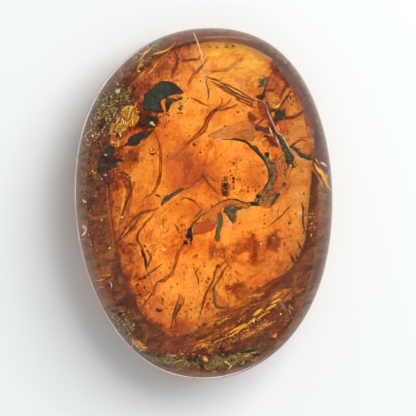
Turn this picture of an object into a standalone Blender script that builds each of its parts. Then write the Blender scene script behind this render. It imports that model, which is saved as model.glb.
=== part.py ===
# Amber cabochon: one polished piece of fossil resin with a domed crown, a soft
# girdle and a bevelled back that ends in a small flat base.
#
# Metres, +Z up. The long axis lies on Y, the short one on X. The stone rests on
# its flat base at Z = 0, and the origin is below the middle of its bounding box.

import math

import bmesh
import bpy

MM = 0.001

# Driving dimensions, in millimetres
LENGTH = 35.1
WIDTH = 25.75
THICKNESS = 11.0

# Plan outline: a superellipse, drawn at half size and then lightly bent
HALF_LENGTH = 17.5
HALF_WIDTH = 12.89
HEAD_SQUARENESS = 2.16   # exponent of the upper end, 2 is a plain ellipse
FOOT_SQUARENESS = 2.104  # exponent of the lower end
TAPER = 0.033            # share by which the head is wider than the foot
BOW = 0.33               # sideways bend of the long axis, mm
SHOULDER = -0.25         # third-harmonic push that fills one shoulder, mm
LEAN = -0.034            # turn of the whole outline, radians

# Back: how far the flat base stays inside the outline, in millimetres, with one
# lobe for each side that was ground back further
BACK_INSET = 3.3
BACK_LOBES = (
    # compass direction, spread, extra inset
    (0.0, 20.0, 1.0),
    (190.0, 50.0, 1.9),
    (293.0, 25.0, 3.5),
)
BACK_SLOPE = 37.0        # slope of the ground back, degrees from the base
GIRDLE_LIP = 1.0         # height that the rounded girdle adds above that slope
SLOPE_PULL = 0.40        # share of the inset that keeps close to the slope
BASE_EDGE = 0.35         # width of the soft edge around the base, mm

# Crown
CROWN_SQUARENESS = 2.2
APEX_SHIFT = (0.5, 0.7)  # the top of the dome sits towards the head, mm

# Mesh density
SIDES = 84
CROWN_RINGS = 17
BACK_RINGS = 8
EDGE_RINGS = 3


def signed_power(value, power):
    return math.copysign(abs(value) ** power, value)


def smooth_step(share):
    return share * share * (3 - 2 * share)


def raw_outline(turn):
    """One point of the bent superellipse, in millimetres, before centring."""
    sine = math.sin(turn)
    cosine = math.cos(turn)
    headward = smooth_step(0.5 + 0.5 * sine)
    squareness = FOOT_SQUARENESS + (HEAD_SQUARENESS - FOOT_SQUARENESS) * headward
    along = signed_power(sine, 2 / squareness)
    across = signed_power(cosine, 2 / squareness)
    x = HALF_WIDTH * across * (1 + TAPER * along)
    x += BOW * (along * along - 0.5) + SHOULDER * math.sin(3 * turn)
    y = HALF_LENGTH * along
    return (
        x * math.cos(LEAN) - y * math.sin(LEAN),
        x * math.sin(LEAN) + y * math.cos(LEAN),
    )


def plan_outline(sides):
    """The outline as points, centred and brought to the driving dimensions."""
    raw = [raw_outline(2 * math.pi * side / sides) for side in range(sides)]
    xs = [point[0] for point in raw]
    ys = [point[1] for point in raw]
    middle_x = (min(xs) + max(xs)) / 2
    middle_y = (min(ys) + max(ys)) / 2
    scale_x = WIDTH / (max(xs) - min(xs))
    scale_y = LENGTH / (max(ys) - min(ys))
    return [((x - middle_x) * scale_x, (y - middle_y) * scale_y) for x, y in raw]


def inward_normals(outline):
    """Unit normals that point into the outline, one for each point."""
    normals = []
    count = len(outline)
    for index in range(count):
        before = outline[index - 1]
        after = outline[(index + 1) % count]
        run_x = after[0] - before[0]
        run_y = after[1] - before[1]
        length = math.hypot(run_x, run_y)
        normals.append((-run_y / length, run_x / length))
    return normals


def back_inset(point):
    """How far inside this outline point the base's edge lies."""
    direction = math.degrees(math.atan2(point[1], point[0]))
    inset = BACK_INSET
    for centre, spread, extra in BACK_LOBES:
        apart = (direction - centre + 180) % 360 - 180
        inset += extra * math.exp(-0.5 * (apart / spread) ** 2)
    return inset


def back_rise(inset):
    """How far the back's slope climbs over this inset."""
    return inset * math.tan(math.radians(BACK_SLOPE))


def girdle_height(point):
    return back_rise(back_inset(point)) + GIRDLE_LIP


def bezier(points, share):
    """A point on the Bezier curve with these control points."""
    while len(points) > 1:
        points = [
            tuple(a + (b - a) * share for a, b in zip(first, second))
            for first, second in zip(points, points[1:])
        ]
    return points[0]


def crown_point(point, share):
    """From the girdle, at share 0, to the apex, at share 1."""
    angle = share * math.pi / 2
    spread = max(math.cos(angle), 0.0) ** (2 / CROWN_SQUARENESS)
    rise = math.sin(angle) ** (2 / CROWN_SQUARENESS)
    girdle = girdle_height(point)
    drift = (1 - spread) ** 2
    return (
        point[0] * spread + APEX_SHIFT[0] * drift,
        point[1] * spread + APEX_SHIFT[1] * drift,
        girdle + (THICKNESS - girdle) * rise,
    )


def back_profile(point):
    """Control points of the back, as inset and height, from girdle to base."""
    inset = back_inset(point)
    pull = inset * SLOPE_PULL
    return [
        (0.0, girdle_height(point)),
        (0.0, back_rise(inset)),
        (inset - pull, back_rise(pull)),
        (inset, 0.0),
    ]


def back_point(point, normal, share):
    """From just under the girdle, at share 0, to the base's edge, at share 1."""
    inset, height = bezier(back_profile(point), share)
    return (point[0] + normal[0] * inset, point[1] + normal[1] * inset, height)


def base_edge_point(point, normal, share):
    """The soft edge that turns the back into the flat base."""
    profile = back_profile(point)
    start_share = 1 - BASE_EDGE / profile[-1][0]
    corner = profile[-1]
    curve = [bezier(profile, start_share), corner, (corner[0] + BASE_EDGE, 0.0)]
    inset, height = bezier(curve, share)
    return (point[0] + normal[0] * inset, point[1] + normal[1] * inset, height)


def stone_rings():
    """Rings of points from below the apex down to the flat base."""
    outline = plan_outline(SIDES)
    normals = inward_normals(outline)
    pairs = list(zip(outline, normals))
    rings = []
    for step in range(CROWN_RINGS - 1, -1, -1):
        share = step / CROWN_RINGS
        rings.append([crown_point(point, share) for point in outline])
    for step in range(1, BACK_RINGS):
        share = step / BACK_RINGS * 0.93
        rings.append([back_point(point, normal, share) for point, normal in pairs])
    for step in range(EDGE_RINGS + 1):
        share = step / EDGE_RINGS
        rings.append([base_edge_point(point, normal, share) for point, normal in pairs])
    return rings


def amber_material():
    material = bpy.data.materials.new("amber")
    material.use_nodes = True
    shader = material.node_tree.nodes["Principled BSDF"]
    shader.inputs["Base Color"].default_value = (0.86, 0.30, 0.04, 1.0)
    shader.inputs["Roughness"].default_value = 0.08
    shader.inputs["Metallic"].default_value = 0.0
    shader.inputs["IOR"].default_value = 1.54
    material.diffuse_color = (0.86, 0.30, 0.04, 1.0)
    return material


def build_stone():
    """The whole stone as one closed mesh."""
    mesh = bpy.data.meshes.new("amber_stone")
    shape = bmesh.new()
    apex = shape.verts.new((APEX_SHIFT[0] * MM, APEX_SHIFT[1] * MM, THICKNESS * MM))
    rings = [
        [shape.verts.new((x * MM, y * MM, z * MM)) for x, y, z in ring]
        for ring in stone_rings()
    ]
    for side in range(SIDES):
        following = (side + 1) % SIDES
        shape.faces.new((apex, rings[0][side], rings[0][following]))
        for upper, lower in zip(rings, rings[1:]):
            shape.faces.new((upper[side], lower[side], lower[following], upper[following]))
    shape.faces.new(reversed(rings[-1]))
    bmesh.ops.recalc_face_normals(shape, faces=shape.faces)
    shape.to_mesh(mesh)
    shape.free()
    mesh.shade_smooth()
    mesh.set_sharp_from_angle(angle=math.radians(25))
    mesh.materials.append(amber_material())
    stone = bpy.data.objects.new("amber_stone", mesh)
    bpy.context.scene.collection.objects.link(stone)


def main():
    for old in list(bpy.data.objects):
        bpy.data.objects.remove(old)
    build_stone()


main()
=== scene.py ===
import random
from math import atan2, copysign, cos, degrees, exp, hypot, pi, radians, sin, sqrt, tan

import bmesh
import bpy
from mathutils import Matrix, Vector, noise
from mathutils.bvhtree import BVHTree
from mathutils.geometry import delaunay_2d_cdt


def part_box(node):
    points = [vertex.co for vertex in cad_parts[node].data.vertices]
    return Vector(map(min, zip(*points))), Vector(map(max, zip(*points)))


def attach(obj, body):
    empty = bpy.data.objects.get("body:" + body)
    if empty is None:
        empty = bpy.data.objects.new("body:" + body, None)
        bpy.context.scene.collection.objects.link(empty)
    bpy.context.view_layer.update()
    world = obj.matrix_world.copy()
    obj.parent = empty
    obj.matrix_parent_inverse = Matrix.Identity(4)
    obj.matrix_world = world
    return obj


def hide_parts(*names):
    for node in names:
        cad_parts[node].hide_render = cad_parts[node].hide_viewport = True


# One polished oval of amber, with everything that is sealed in it.
# Places inside the stone are given in millimetres as the eye sees them from
# straight above: x to the right, y to the stone's broad end, and level from 0
# at the back of the stone to 1 at the dome. Blender's own units are metres.
mm = 0.001

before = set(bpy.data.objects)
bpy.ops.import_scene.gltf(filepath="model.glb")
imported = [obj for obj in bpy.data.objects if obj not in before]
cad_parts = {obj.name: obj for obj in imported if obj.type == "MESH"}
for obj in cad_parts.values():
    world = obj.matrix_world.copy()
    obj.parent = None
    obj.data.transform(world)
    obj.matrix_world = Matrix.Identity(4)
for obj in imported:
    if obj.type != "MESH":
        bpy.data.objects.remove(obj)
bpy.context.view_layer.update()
lowCorner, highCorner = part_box("amber_stone")
print("frame loaded")


# Stone shape
stone = {
    "width": (highCorner.x - lowCorner.x) / mm,
    "length": (highCorner.y - lowCorner.y) / mm,
    "thickness": highCorner.z / mm,
    "halfWidth": 12.89,
    "halfLength": 17.5,
    "headSquareness": 2.16,
    "footSquareness": 2.104,
    "taper": 0.033,
    "bow": 0.33,
    "shoulder": -0.25,
    "lean": -0.034,
    "backInset": 3.3,
    "backLobes": ((0.0, 20.0, 1.0), (190.0, 50.0, 1.9), (293.0, 25.0, 3.5)),
    "backSlope": 37.0,
    "girdleLip": 1.0,
    "slopePull": 0.40,
    "baseEdge": 0.35,
    "crownSquareness": 2.2,
    "apexShift": (0.5, 0.7),
    "sides": 240,
    "crownRings": 90,
    "backRings": 40,
    "edgeRings": 8,
    "baseRings": (0.06, 0.5, 1.5),
    "polishWave": 0.004,  # height of the gentle unevenness left by hand polishing, mm
    "polishLength": 5.0,  # its wavelength, mm
    "polishFrom": 0.5,  # height where it starts, mm
    "polishAcross": 10.0,  # it moves the skin this many times less across than down
    "backShare": 0.93,  # how much of the back's curve comes before the edge of the base
}


def signedPower(value, power):
    return copysign(abs(value) ** power, value)


def rawOutline(turn):
    s = stone
    sine, cosine = sin(turn), cos(turn)
    share = 0.5 + 0.5 * sine
    blend = share * share * (3 - 2 * share)
    squareness = s["footSquareness"] + (s["headSquareness"] - s["footSquareness"]) * blend
    along = signedPower(sine, 2 / squareness)
    across = signedPower(cosine, 2 / squareness)
    x = s["halfWidth"] * across * (1 + s["taper"] * along)
    x += s["bow"] * (along * along - 0.5) + s["shoulder"] * sin(3 * turn)
    y = s["halfLength"] * along
    lean = s["lean"]
    return x * cos(lean) - y * sin(lean), x * sin(lean) + y * cos(lean)


def planOutline(sides):
    raw = [rawOutline(2 * pi * side / sides) for side in range(sides)]
    xs, ys = [p[0] for p in raw], [p[1] for p in raw]
    midX, midY = (min(xs) + max(xs)) / 2, (min(ys) + max(ys)) / 2
    scaleX = stone["width"] / (max(xs) - min(xs))
    scaleY = stone["length"] / (max(ys) - min(ys))
    return [((x - midX) * scaleX, (y - midY) * scaleY) for x, y in raw]


def backInset(point):
    direction = degrees(atan2(point[1], point[0]))
    inset = stone["backInset"]
    for centre, spread, extra in stone["backLobes"]:
        apart = (direction - centre + 180) % 360 - 180
        inset += extra * exp(-0.5 * (apart / spread) ** 2)
    return inset


def backRise(inset):
    return inset * tan(radians(stone["backSlope"]))


def girdleHeight(point):
    return backRise(backInset(point)) + stone["girdleLip"]


def bezier(points, share):
    while len(points) > 1:
        points = [tuple(a + (b - a) * share for a, b in zip(p, q)) for p, q in zip(points, points[1:])]
    return points[0]


def crownPoint(point, share):
    angle = share * pi / 2
    spread = max(cos(angle), 0.0) ** (2 / stone["crownSquareness"])
    rise = sin(angle) ** (2 / stone["crownSquareness"])
    girdle = girdleHeight(point)
    drift = (1 - spread) ** 2
    shiftX, shiftY = stone["apexShift"]
    return (point[0] * spread + shiftX * drift, point[1] * spread + shiftY * drift,
            girdle + (stone["thickness"] - girdle) * rise)


def backProfile(point):
    inset = backInset(point)
    pull = inset * stone["slopePull"]
    return [(0.0, girdleHeight(point)), (0.0, backRise(inset)), (inset - pull, backRise(pull)), (inset, 0.0)]


def stoneRings():
    s = stone
    outline = planOutline(s["sides"])
    count = len(outline)
    inward = []
    for i in range(count):
        before, after = outline[i - 1], outline[(i + 1) % count]
        runX, runY = after[0] - before[0], after[1] - before[1]
        length = hypot(runX, runY)
        inward.append((-runY / length, runX / length))

    def ring(place):
        points = []
        for point, normal in zip(outline, inward):
            inset, height = place(point)
            points.append((point[0] + normal[0] * inset, point[1] + normal[1] * inset, height))
        return points

    rings = []
    for step in range(s["crownRings"] - 1, -1, -1):
        rings.append([crownPoint(point, step / s["crownRings"]) for point in outline])
    for step in range(1, s["backRings"]):
        share = step / s["backRings"] * s["backShare"]
        rings.append(ring(lambda point: bezier(backProfile(point), share)))

    def edgePlace(point, share):
        profile = backProfile(point)
        corner = profile[-1]
        start = bezier(profile, 1 - s["baseEdge"] / corner[0])
        return bezier([start, corner, (corner[0] + s["baseEdge"], 0.0)], share)

    for step in range(s["edgeRings"] + 1):
        rings.append(ring(lambda point: edgePlace(point, step / s["edgeRings"])))
    for extra in s["baseRings"]:
        rings.append(ring(lambda point: (backInset(point) + s["baseEdge"] + extra, 0.0)))
    return rings


def polished(point):
    # a hand-polished dome is never quite even, and its base stays flat
    x, y, z = point
    if z < stone["polishFrom"]:
        return Vector(point) * mm
    wave = noise.noise(Vector((x, y, z)) / stone["polishLength"])
    worn = stone["polishWave"] * (1 + wave)
    across = 1 - worn / stone["polishAcross"]
    return Vector((x * across, y * across, z - worn * z / stone["thickness"])) * mm


def newObject(name, bm, material):
    bmesh.ops.recalc_face_normals(bm, faces=bm.faces)
    mesh = bpy.data.meshes.new(name)
    bm.to_mesh(mesh)
    bm.free()
    mesh.shade_smooth()
    mesh.materials.append(material)
    piece = bpy.data.objects.new(name, mesh)
    bpy.context.scene.collection.objects.link(piece)
    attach(piece, "root")
    return piece


def buildStone(material):
    bm = bmesh.new()
    rings = [[bm.verts.new(polished(p)) for p in ring] for ring in stoneRings()]
    shiftX, shiftY = stone["apexShift"]
    apex = bm.verts.new(polished((shiftX, shiftY, stone["thickness"])))
    sides = stone["sides"]
    for i in range(sides):
        j = (i + 1) % sides
        bm.faces.new((apex, rings[0][i], rings[0][j]))
        for upper, lower in zip(rings, rings[1:]):
            bm.faces.new((upper[i], lower[i], lower[j], upper[j]))
    bm.faces.new(list(reversed(rings[-1])))
    piece = newObject("amber", bm, material)
    ground = piece.data.attributes.new("ground", "FLOAT", "POINT")
    for i in range(stone["crownRings"] * sides, (stone["crownRings"] + stone["backRings"] - 1) * sides):
        ground.data[i].value = 1.0
    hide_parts("amber_stone")
    return piece


# Materials
def nodeMaterial(name):
    material = bpy.data.materials.new(name)
    material.use_nodes = True
    tree = material.node_tree
    return material, tree, tree.nodes["Principled BSDF"]


def node(tree, kind, inputs=None, **settings):
    made = tree.nodes.new("ShaderNode" + kind)
    for name, value in settings.items():
        setattr(made, name, value)
    for name, value in (inputs or {}).items():
        if isinstance(value, bpy.types.NodeSocket):
            tree.links.new(value, made.inputs[name])
        else:
            made.inputs[name].default_value = value
    return made


amberLook = {
    "ior": 1.54,
    "passColour": (0.963, 0.745, 0.25, 1.0),
    "density": 190.0,
    "crownRoughness": 0.0,
    "backRoughness": 0.22,
}


def amberMaterial():
    material, tree, shader = nodeMaterial("clearAmber")
    shader.inputs["Base Color"].default_value = (1.0, 1.0, 1.0, 1.0)
    ground = node(tree, "Attribute", attribute_name="ground")
    grind = node(tree, "MapRange", {"Value": ground.outputs["Fac"], "To Min": amberLook["crownRoughness"],
                                    "To Max": amberLook["backRoughness"]})
    tree.links.new(grind.outputs["Result"], shader.inputs["Roughness"])
    shader.inputs["IOR"].default_value = amberLook["ior"]
    shader.inputs["Transmission Weight"].default_value = 1.0
    soak = tree.nodes.new("ShaderNodeVolumeAbsorption")
    soak.inputs["Color"].default_value = amberLook["passColour"]
    soak.inputs["Density"].default_value = amberLook["density"]
    tree.links.new(soak.outputs["Volume"], tree.nodes["Material Output"].inputs["Volume"])
    return material


amber = buildStone(amberMaterial())
print("stone built", len(amber.data.polygons), "faces")


# Floor, light and camera
studio = {
    "floorColour": (0.845, 0.865, 0.87, 1.0),
    "floorGap": 0.02,  # mm between the floor and the stone's flat base
    "floorSize": 1.2,  # metres
    "cameraLens": 200.0,
    "cameraSensor": 36.0,
    "frameWidth": 41.6,  # mm across the picture at the girdle
    "cameraShift": (0.43, -0.5),  # mm right and up from the middle of the base
    "clip": (0.01, 10.0),
    "aim": (0.0, 0.0, 0.004),  # where the lamps point
    # sine of the height, and how bright the tent is there
    "tent": ((0.0, 0.28), (0.25, 0.35), (0.55, 0.38), (0.80, 0.22), (1.0, 0.12)),
    "keyPlace": (0.21, 0.17, 0.31),
    "keySize": 0.30,
    "keyPower": 1.58,
    "keyTint": (1.0, 0.982, 0.958),
    "fillPlace": (0.10, -0.04, 0.50),
    "fillSize": 0.80,
    "fillPower": 1.22,
    "fillTint": (0.87, 0.955, 1.0),
    "overheadPlace": (0.05, 0.06, 0.42),
    "overheadSize": 0.90,
    "overheadPower": 12.0,
}


def buildFloor():
    bpy.ops.mesh.primitive_plane_add(size=studio["floorSize"], location=(0, 0, -studio["floorGap"] * mm))
    floor = bpy.context.object
    floor.name = "floor"
    material, tree, shader = nodeMaterial("paleTable")
    shader.inputs["Base Color"].default_value = studio["floorColour"]
    shader.inputs["Roughness"].default_value = 0.9
    shader.inputs["Specular IOR Level"].default_value = 0.0
    floor.data.materials.append(material)


def buildTent():
    world = bpy.data.worlds.new("tent")
    world.use_nodes = True
    tree = world.node_tree
    back = tree.nodes["Background"]
    back.inputs["Color"].default_value = (1.0, 1.0, 1.0, 1.0)
    coords = tree.nodes.new("ShaderNodeTexCoord")
    split = tree.nodes.new("ShaderNodeSeparateXYZ")
    ramp = tree.nodes.new("ShaderNodeValToRGB")
    stops = ramp.color_ramp.elements
    while len(stops) < len(studio["tent"]):
        stops.new(0.5)
    for stop, (height, glow) in zip(stops, studio["tent"]):
        stop.position = height
        stop.color = (glow, glow, glow, 1.0)
    tree.links.new(coords.outputs["Generated"], split.inputs["Vector"])
    tree.links.new(split.outputs["Z"], ramp.inputs["Fac"])
    tree.links.new(ramp.outputs["Color"], back.inputs["Strength"])
    bpy.context.scene.world = world


def softbox(name, place, size, power):
    lamp = bpy.data.lights.new(name, "AREA")
    lamp.size = size
    lamp.energy = power
    box = bpy.data.objects.new(name, lamp)
    box.location = place
    box.rotation_euler = (Vector(studio["aim"]) - box.location).to_track_quat("-Z", "Y").to_euler()
    box.visible_glossy = False
    bpy.context.scene.collection.objects.link(box)
    return box


def buildLights():
    # the key casts the shadow, and the overhead box only shines through the stone
    key = softbox("key", studio["keyPlace"], studio["keySize"], studio["keyPower"])
    key.data.color = studio["keyTint"]
    key.visible_transmission = False
    fill = softbox("fill", studio["fillPlace"], studio["fillSize"], studio["fillPower"])
    fill.data.color = studio["fillTint"]
    fill.visible_transmission = False
    overhead = softbox("overhead", studio["overheadPlace"], studio["overheadSize"], studio["overheadPower"])
    overhead.visible_diffuse = False


def buildCamera():
    data = bpy.data.cameras.new("camera")
    data.lens = studio["cameraLens"]
    data.sensor_width = studio["cameraSensor"]
    data.clip_start, data.clip_end = studio["clip"]
    camera = bpy.data.objects.new("camera", data)
    camera.location = eye
    bpy.context.scene.collection.objects.link(camera)
    bpy.context.scene.camera = camera


# Places inside the stone
cameraDistance = studio["frameWidth"] * mm * studio["cameraLens"] / studio["cameraSensor"]
girdleLevel = girdleHeight((stone["halfWidth"], 0.0)) * mm
eye = Vector((studio["cameraShift"][0] * mm, studio["cameraShift"][1] * mm, girdleLevel + cameraDistance))
skin = BVHTree.FromPolygons([v.co for v in amber.data.vertices], [p.vertices for p in amber.data.polygons])
sight = {
    "drawIn": 0.985,  # a place past the outline is drawn in by this share until it meets the stone
    "justUnder": 1e-6,  # metres below the dome where the ray to the back starts
    "thinnest": 0.0005,  # metres of resin where no back is found
    "within": (0.025, 0.975),  # nothing lies nearer the back or the dome, as shares of the way up
}


def smoothNormal(place, face):
    corners = [amber.data.vertices[i] for i in amber.data.polygons[face].vertices]
    total = Vector()
    for corner in corners:
        total += corner.normal / max((corner.co - place).length, 1e-7)
    return total.normalized()


def sightLine(x, y):
    # where the line of sight through (x, y) enters the dome and where it reaches the back
    front = None
    while front is None:
        toward = (Vector((x * mm, y * mm, girdleLevel)) - eye).normalized()
        front, normal, face = skin.ray_cast(eye, toward)[:3]
        x, y = x * sight["drawIn"], y * sight["drawIn"]
    normal = smoothNormal(front, face)
    squeeze = 1 / amberLook["ior"]
    cosine = -toward.dot(normal)
    bend = squeeze * cosine - sqrt(1 - squeeze * squeeze * (1 - cosine * cosine))
    inward = (toward * squeeze + normal * bend).normalized()
    back = skin.ray_cast(front + inward * sight["justUnder"], inward)[0]
    if back is None:
        back = front + inward * sight["thinnest"]
    return front, back


def see(x, y, level, rise=0.0):
    # the place that shows at (x, y), at this share of the way up, and rise millimetres nearer the eye
    front, back = sightLine(x, y)
    depth = (front - back).length / mm
    lowest, highest = sight["within"]
    return back.lerp(front, min(max(level + rise / depth, lowest), highest))


def smoothStep(share):
    share = min(max(share, 0.0), 1.0)
    return share * share * (3 - 2 * share)


def spread(stops, share):
    # a value part way along evenly spaced stops
    if not isinstance(stops, (tuple, list)):
        return stops
    at = share * (len(stops) - 1)
    i = min(int(at), len(stops) - 2)
    return stops[i] + (stops[i + 1] - stops[i]) * (at - i)


def smoothRoute(points, step, closed=False):
    # a Catmull-Rom curve through the points, as places a step apart
    count = len(points)
    pick = (lambda i: points[i % count]) if closed else (lambda i: points[min(max(i, 0), count - 1)])
    route = []
    for i in range(count if closed else count - 1):
        a, b, c, d = (Vector(pick(i + k)) for k in (-1, 0, 1, 2))
        parts = max(1, round((c - b).length / step))
        for part in range(parts):
            t = part / parts
            bend = (2 * a - 5 * b + 4 * c - d) * t * t + (3 * b - a - 3 * c + d) * t * t * t
            route.append(0.5 * (2 * b + (c - a) * t + bend))
    if not closed:
        route.append(Vector(points[-1]))
    return route


class Piece:
    # one mesh in the making, with what its material reads: flow in mm, edge and tint
    def __init__(self, name, seed=1):
        self.name = name
        self.bm = bmesh.new()
        self.flow = self.bm.verts.layers.float_vector.new("flow")
        self.edge = self.bm.verts.layers.float.new("edge")
        self.tint = self.bm.verts.layers.float.new("tint")
        self.dice = random.Random(seed)

    def point(self, place, flow, edge, tint):
        vert = self.bm.verts.new(place)
        vert[self.flow] = flow
        vert[self.edge] = edge
        vert[self.tint] = tint
        return vert

    def done(self, material):
        return newObject(self.name, self.bm, material)


def waver(x, y=0.0, z=0.0):
    return noise.noise(Vector((x, y, z)))


def tapered(width):
    # one number is the width in the middle, and several run from end to end
    if isinstance(width, tuple):
        return width
    return strand["ends"] * width, width, strand["ends"] * width


def skinRings(bm, rings):
    sides = len(rings[0])
    for lower, upper in zip(rings, rings[1:]):
        for s in range(sides):
            t = (s + 1) % sides
            bm.faces.new((lower[s], upper[s], upper[t], lower[t]))
    bm.faces.new(list(reversed(rings[0])))
    bm.faces.new(rings[-1])


strand = {
    "wanderPace": 1.3,
    "swell": 0.35,  # how much its width varies
    "swellPace": 2.1,
    "bluntness": 14,  # of its tips
    "tip": 0.02,
    "ends": 0.4,  # width at the ends, as a share of the middle
    "bend": 0.3,  # of a loose hair, as a share of its length
}


def addStrand(piece, points, width, level, flat=0.6, wander=0.03, sides=8, step=0.14):
    # a root, hair or strip that tapers to its ends
    tint, lean = piece.dice.random(), piece.dice.uniform(0, 50)
    width = tapered(width)
    route = smoothRoute(points, step)
    length = len(route) - 1
    rings = []
    for i, at in enumerate(route):
        share = i / length
        ahead = (route[min(i + 1, length)] - route[max(i - 1, 0)]).normalized()
        side = Vector((-ahead.y, ahead.x))
        shake = waver(i * step * strand["wanderPace"], lean, 0.0)
        swell = 1 + strand["swell"] * waver(i * step * strand["swellPace"], lean, 9.0)
        tip = sqrt(max(1 - abs(2 * share - 1) ** strand["bluntness"], strand["tip"]))
        half = 0.5 * spread(width, share) * swell * tip
        middle = at + side * shake * wander
        ring = []
        for s in range(sides):
            turn = 2 * pi * s / sides
            over = middle + side * half * cos(turn)
            place = see(over.x, over.y, spread(level, share), half * flat * sin(turn))
            flow = (i * step, half * cos(turn), lean)
            ring.append(piece.point(place, flow, abs(cos(turn)), tint))
        rings.append(ring)
    skinRings(piece.bm, rings)


def addStrands(piece, routes, **shape):
    # several strips, each with its own route, width and share of the way up
    for route, width, level in routes:
        addStrand(piece, route, width, level, **shape)


rootThread = {
    "sides": (-0.42, 0.42),  # shares of the root's width
    "stray": 0.5,
    "strayPace": 0.4,
    "step": 0.35,
    "width": (0.02, 0.07, 0.09, 0.07, 0.02),
}


def addRoot(piece, threads, points, width, level):
    # a see-through root, with two darker threads that wander along it
    width = tapered(width)
    addStrand(piece, points, width, level, wander=0.06)
    route = smoothRoute(points, rootThread["step"])
    last = len(route) - 1
    for side in rootThread["sides"]:
        lean = threads.dice.uniform(0, 50)
        moved = []
        for i, at in enumerate(route):
            ahead = (route[min(i + 1, last)] - route[max(i - 1, 0)]).normalized()
            off = side + rootThread["stray"] * waver(i * rootThread["strayPace"], lean, 0.0)
            moved.append(at + Vector((-ahead.y, ahead.x)) * off * spread(width, i / last))
        addStrand(threads, moved, rootThread["width"], level, wander=0.08, sides=5, step=0.2)


sideHair = {
    "slant": (0.35, 1.1),  # angle to the root, radians
    "bend": 0.25,
    "taper": (1.0, 0.8, 0.4),
    "step": 0.12,
}


def addHairs(piece, points, count, length, width, level):
    # fine side hairs that leave a root at a slant
    route = smoothRoute(points, 0.1)
    dice = piece.dice
    while count:
        i = dice.randrange(1, len(route) - 1)
        ahead = (route[i + 1] - route[i - 1]).normalized()
        turn = dice.choice((-1, 1)) * dice.uniform(*sideHair["slant"])
        reach = dice.uniform(*length)
        way = Vector((ahead.x * cos(turn) - ahead.y * sin(turn),
            ahead.x * sin(turn) + ahead.y * cos(turn)))
        bend = Vector((-way.y, way.x)) * dice.uniform(-sideHair["bend"], sideHair["bend"]) * reach
        start = route[i]
        addStrand(piece, [start, start + way * reach * 0.5 + bend, start + way * reach],
            tuple(width * part for part in sideHair["taper"]), level, sides=5, step=sideHair["step"])
        count -= 1


def addRoots(piece, threads, routes, hairs, length):
    # see-through roots, each with its own side hairs
    for route, width, level in routes:
        addRoot(piece, threads, route, width, level)
        addHairs(threads, route, hairs, length, 0.05, level)


def addStrays(piece, points, count, length, width, level, lean=(0.0, pi)):
    # loose fine hairs and hairline cracks strewn inside an outline
    outline = [Vector(p) for p in points]
    xs, ys = [p.x for p in outline], [p.y for p in outline]
    dice = piece.dice
    while count:
        start = Vector((dice.uniform(min(xs), max(xs)), dice.uniform(min(ys), max(ys))))
        if not inOutline(start.x, start.y, outline):
            continue
        turn, reach = dice.uniform(*lean), dice.uniform(*length)
        way = Vector((cos(turn), sin(turn)))
        bend = Vector((-way.y, way.x)) * dice.uniform(-strand["bend"], strand["bend"]) * reach
        thin = dice.uniform(*width)
        addStrand(piece, [start - way * reach / 2, start + bend * 0.5, start + way * reach / 2],
            thin, dice.uniform(*level), flat=0.5, sides=5)
        count -= 1


def inOutline(x, y, outline):
    inside = False
    for a, b in zip(outline, outline[1:] + outline[:1]):
        if (a.y > y) != (b.y > y) and x < (b.x - a.x) * (y - a.y) / (b.y - a.y) + a.x:
            inside = not inside
    return inside


flake = {
    "edgeStep": 0.7,  # these three are shares of the spacing
    "clearance": 0.55,
    "rowHeight": 0.87,
    "bays": 2.5,  # how fine a ragged edge is
    "nicks": 9.0,
    "nickDepth": 0.8,
    "relief": 0.06,  # unevenness of a flake's face, mm
    "waves": 1.1,  # and how fine it is
    "pits": 3.1,
    "skinWaves": 0.6,  # the same for a skin
}


def shakeAt(point, fine, lean):
    return Vector((waver(point.x * fine, point.y * fine, lean),
        waver(point.x * fine, point.y * fine, lean + 7)))


def tiled(points, spacing, soft, ragged=0.0, lean=0.0):
    # an outline filled with triangles, and how near each corner is to the edge
    outline = smoothRoute(points, spacing * flake["edgeStep"], closed=True)
    if ragged:
        bays, nicks, depth = flake["bays"], flake["nicks"], flake["nickDepth"]
        outline = [p + (shakeAt(p, bays, lean) + depth * shakeAt(p, nicks, lean)) * ragged for p in outline]
    xs, ys = [p.x for p in outline], [p.y for p in outline]
    filling = []
    row, y = 0, min(ys) + spacing / 2
    while y < max(ys):
        x = min(xs) + spacing * (0.5 if row % 2 else 1.0)
        while x < max(xs):
            if inOutline(x, y, outline):
                gap = min((x - p.x) ** 2 + (y - p.y) ** 2 for p in outline) ** 0.5
                if gap > spacing * flake["clearance"]:
                    filling.append((Vector((x, y)), gap))
            x += spacing
        y += spacing * flake["rowHeight"]
        row += 1
    corners = outline + [p for p, gap in filling]
    found = delaunay_2d_cdt(corners, [], [list(range(len(outline)))], 1, 1e-6)
    edges = [1.0] * len(outline) + [1 - min(gap / soft, 1.0) for p, gap in filling]
    return found[0], found[2], [edges[old[0]] if old else 1.0 for old in found[3]]


def flowAt(across, lie, lean):
    # where the grain of the material is read, turned to lie along the piece
    return (across.x * cos(lie) + across.y * sin(lie),
        across.y * cos(lie) - across.x * sin(lie), lean)


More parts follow.
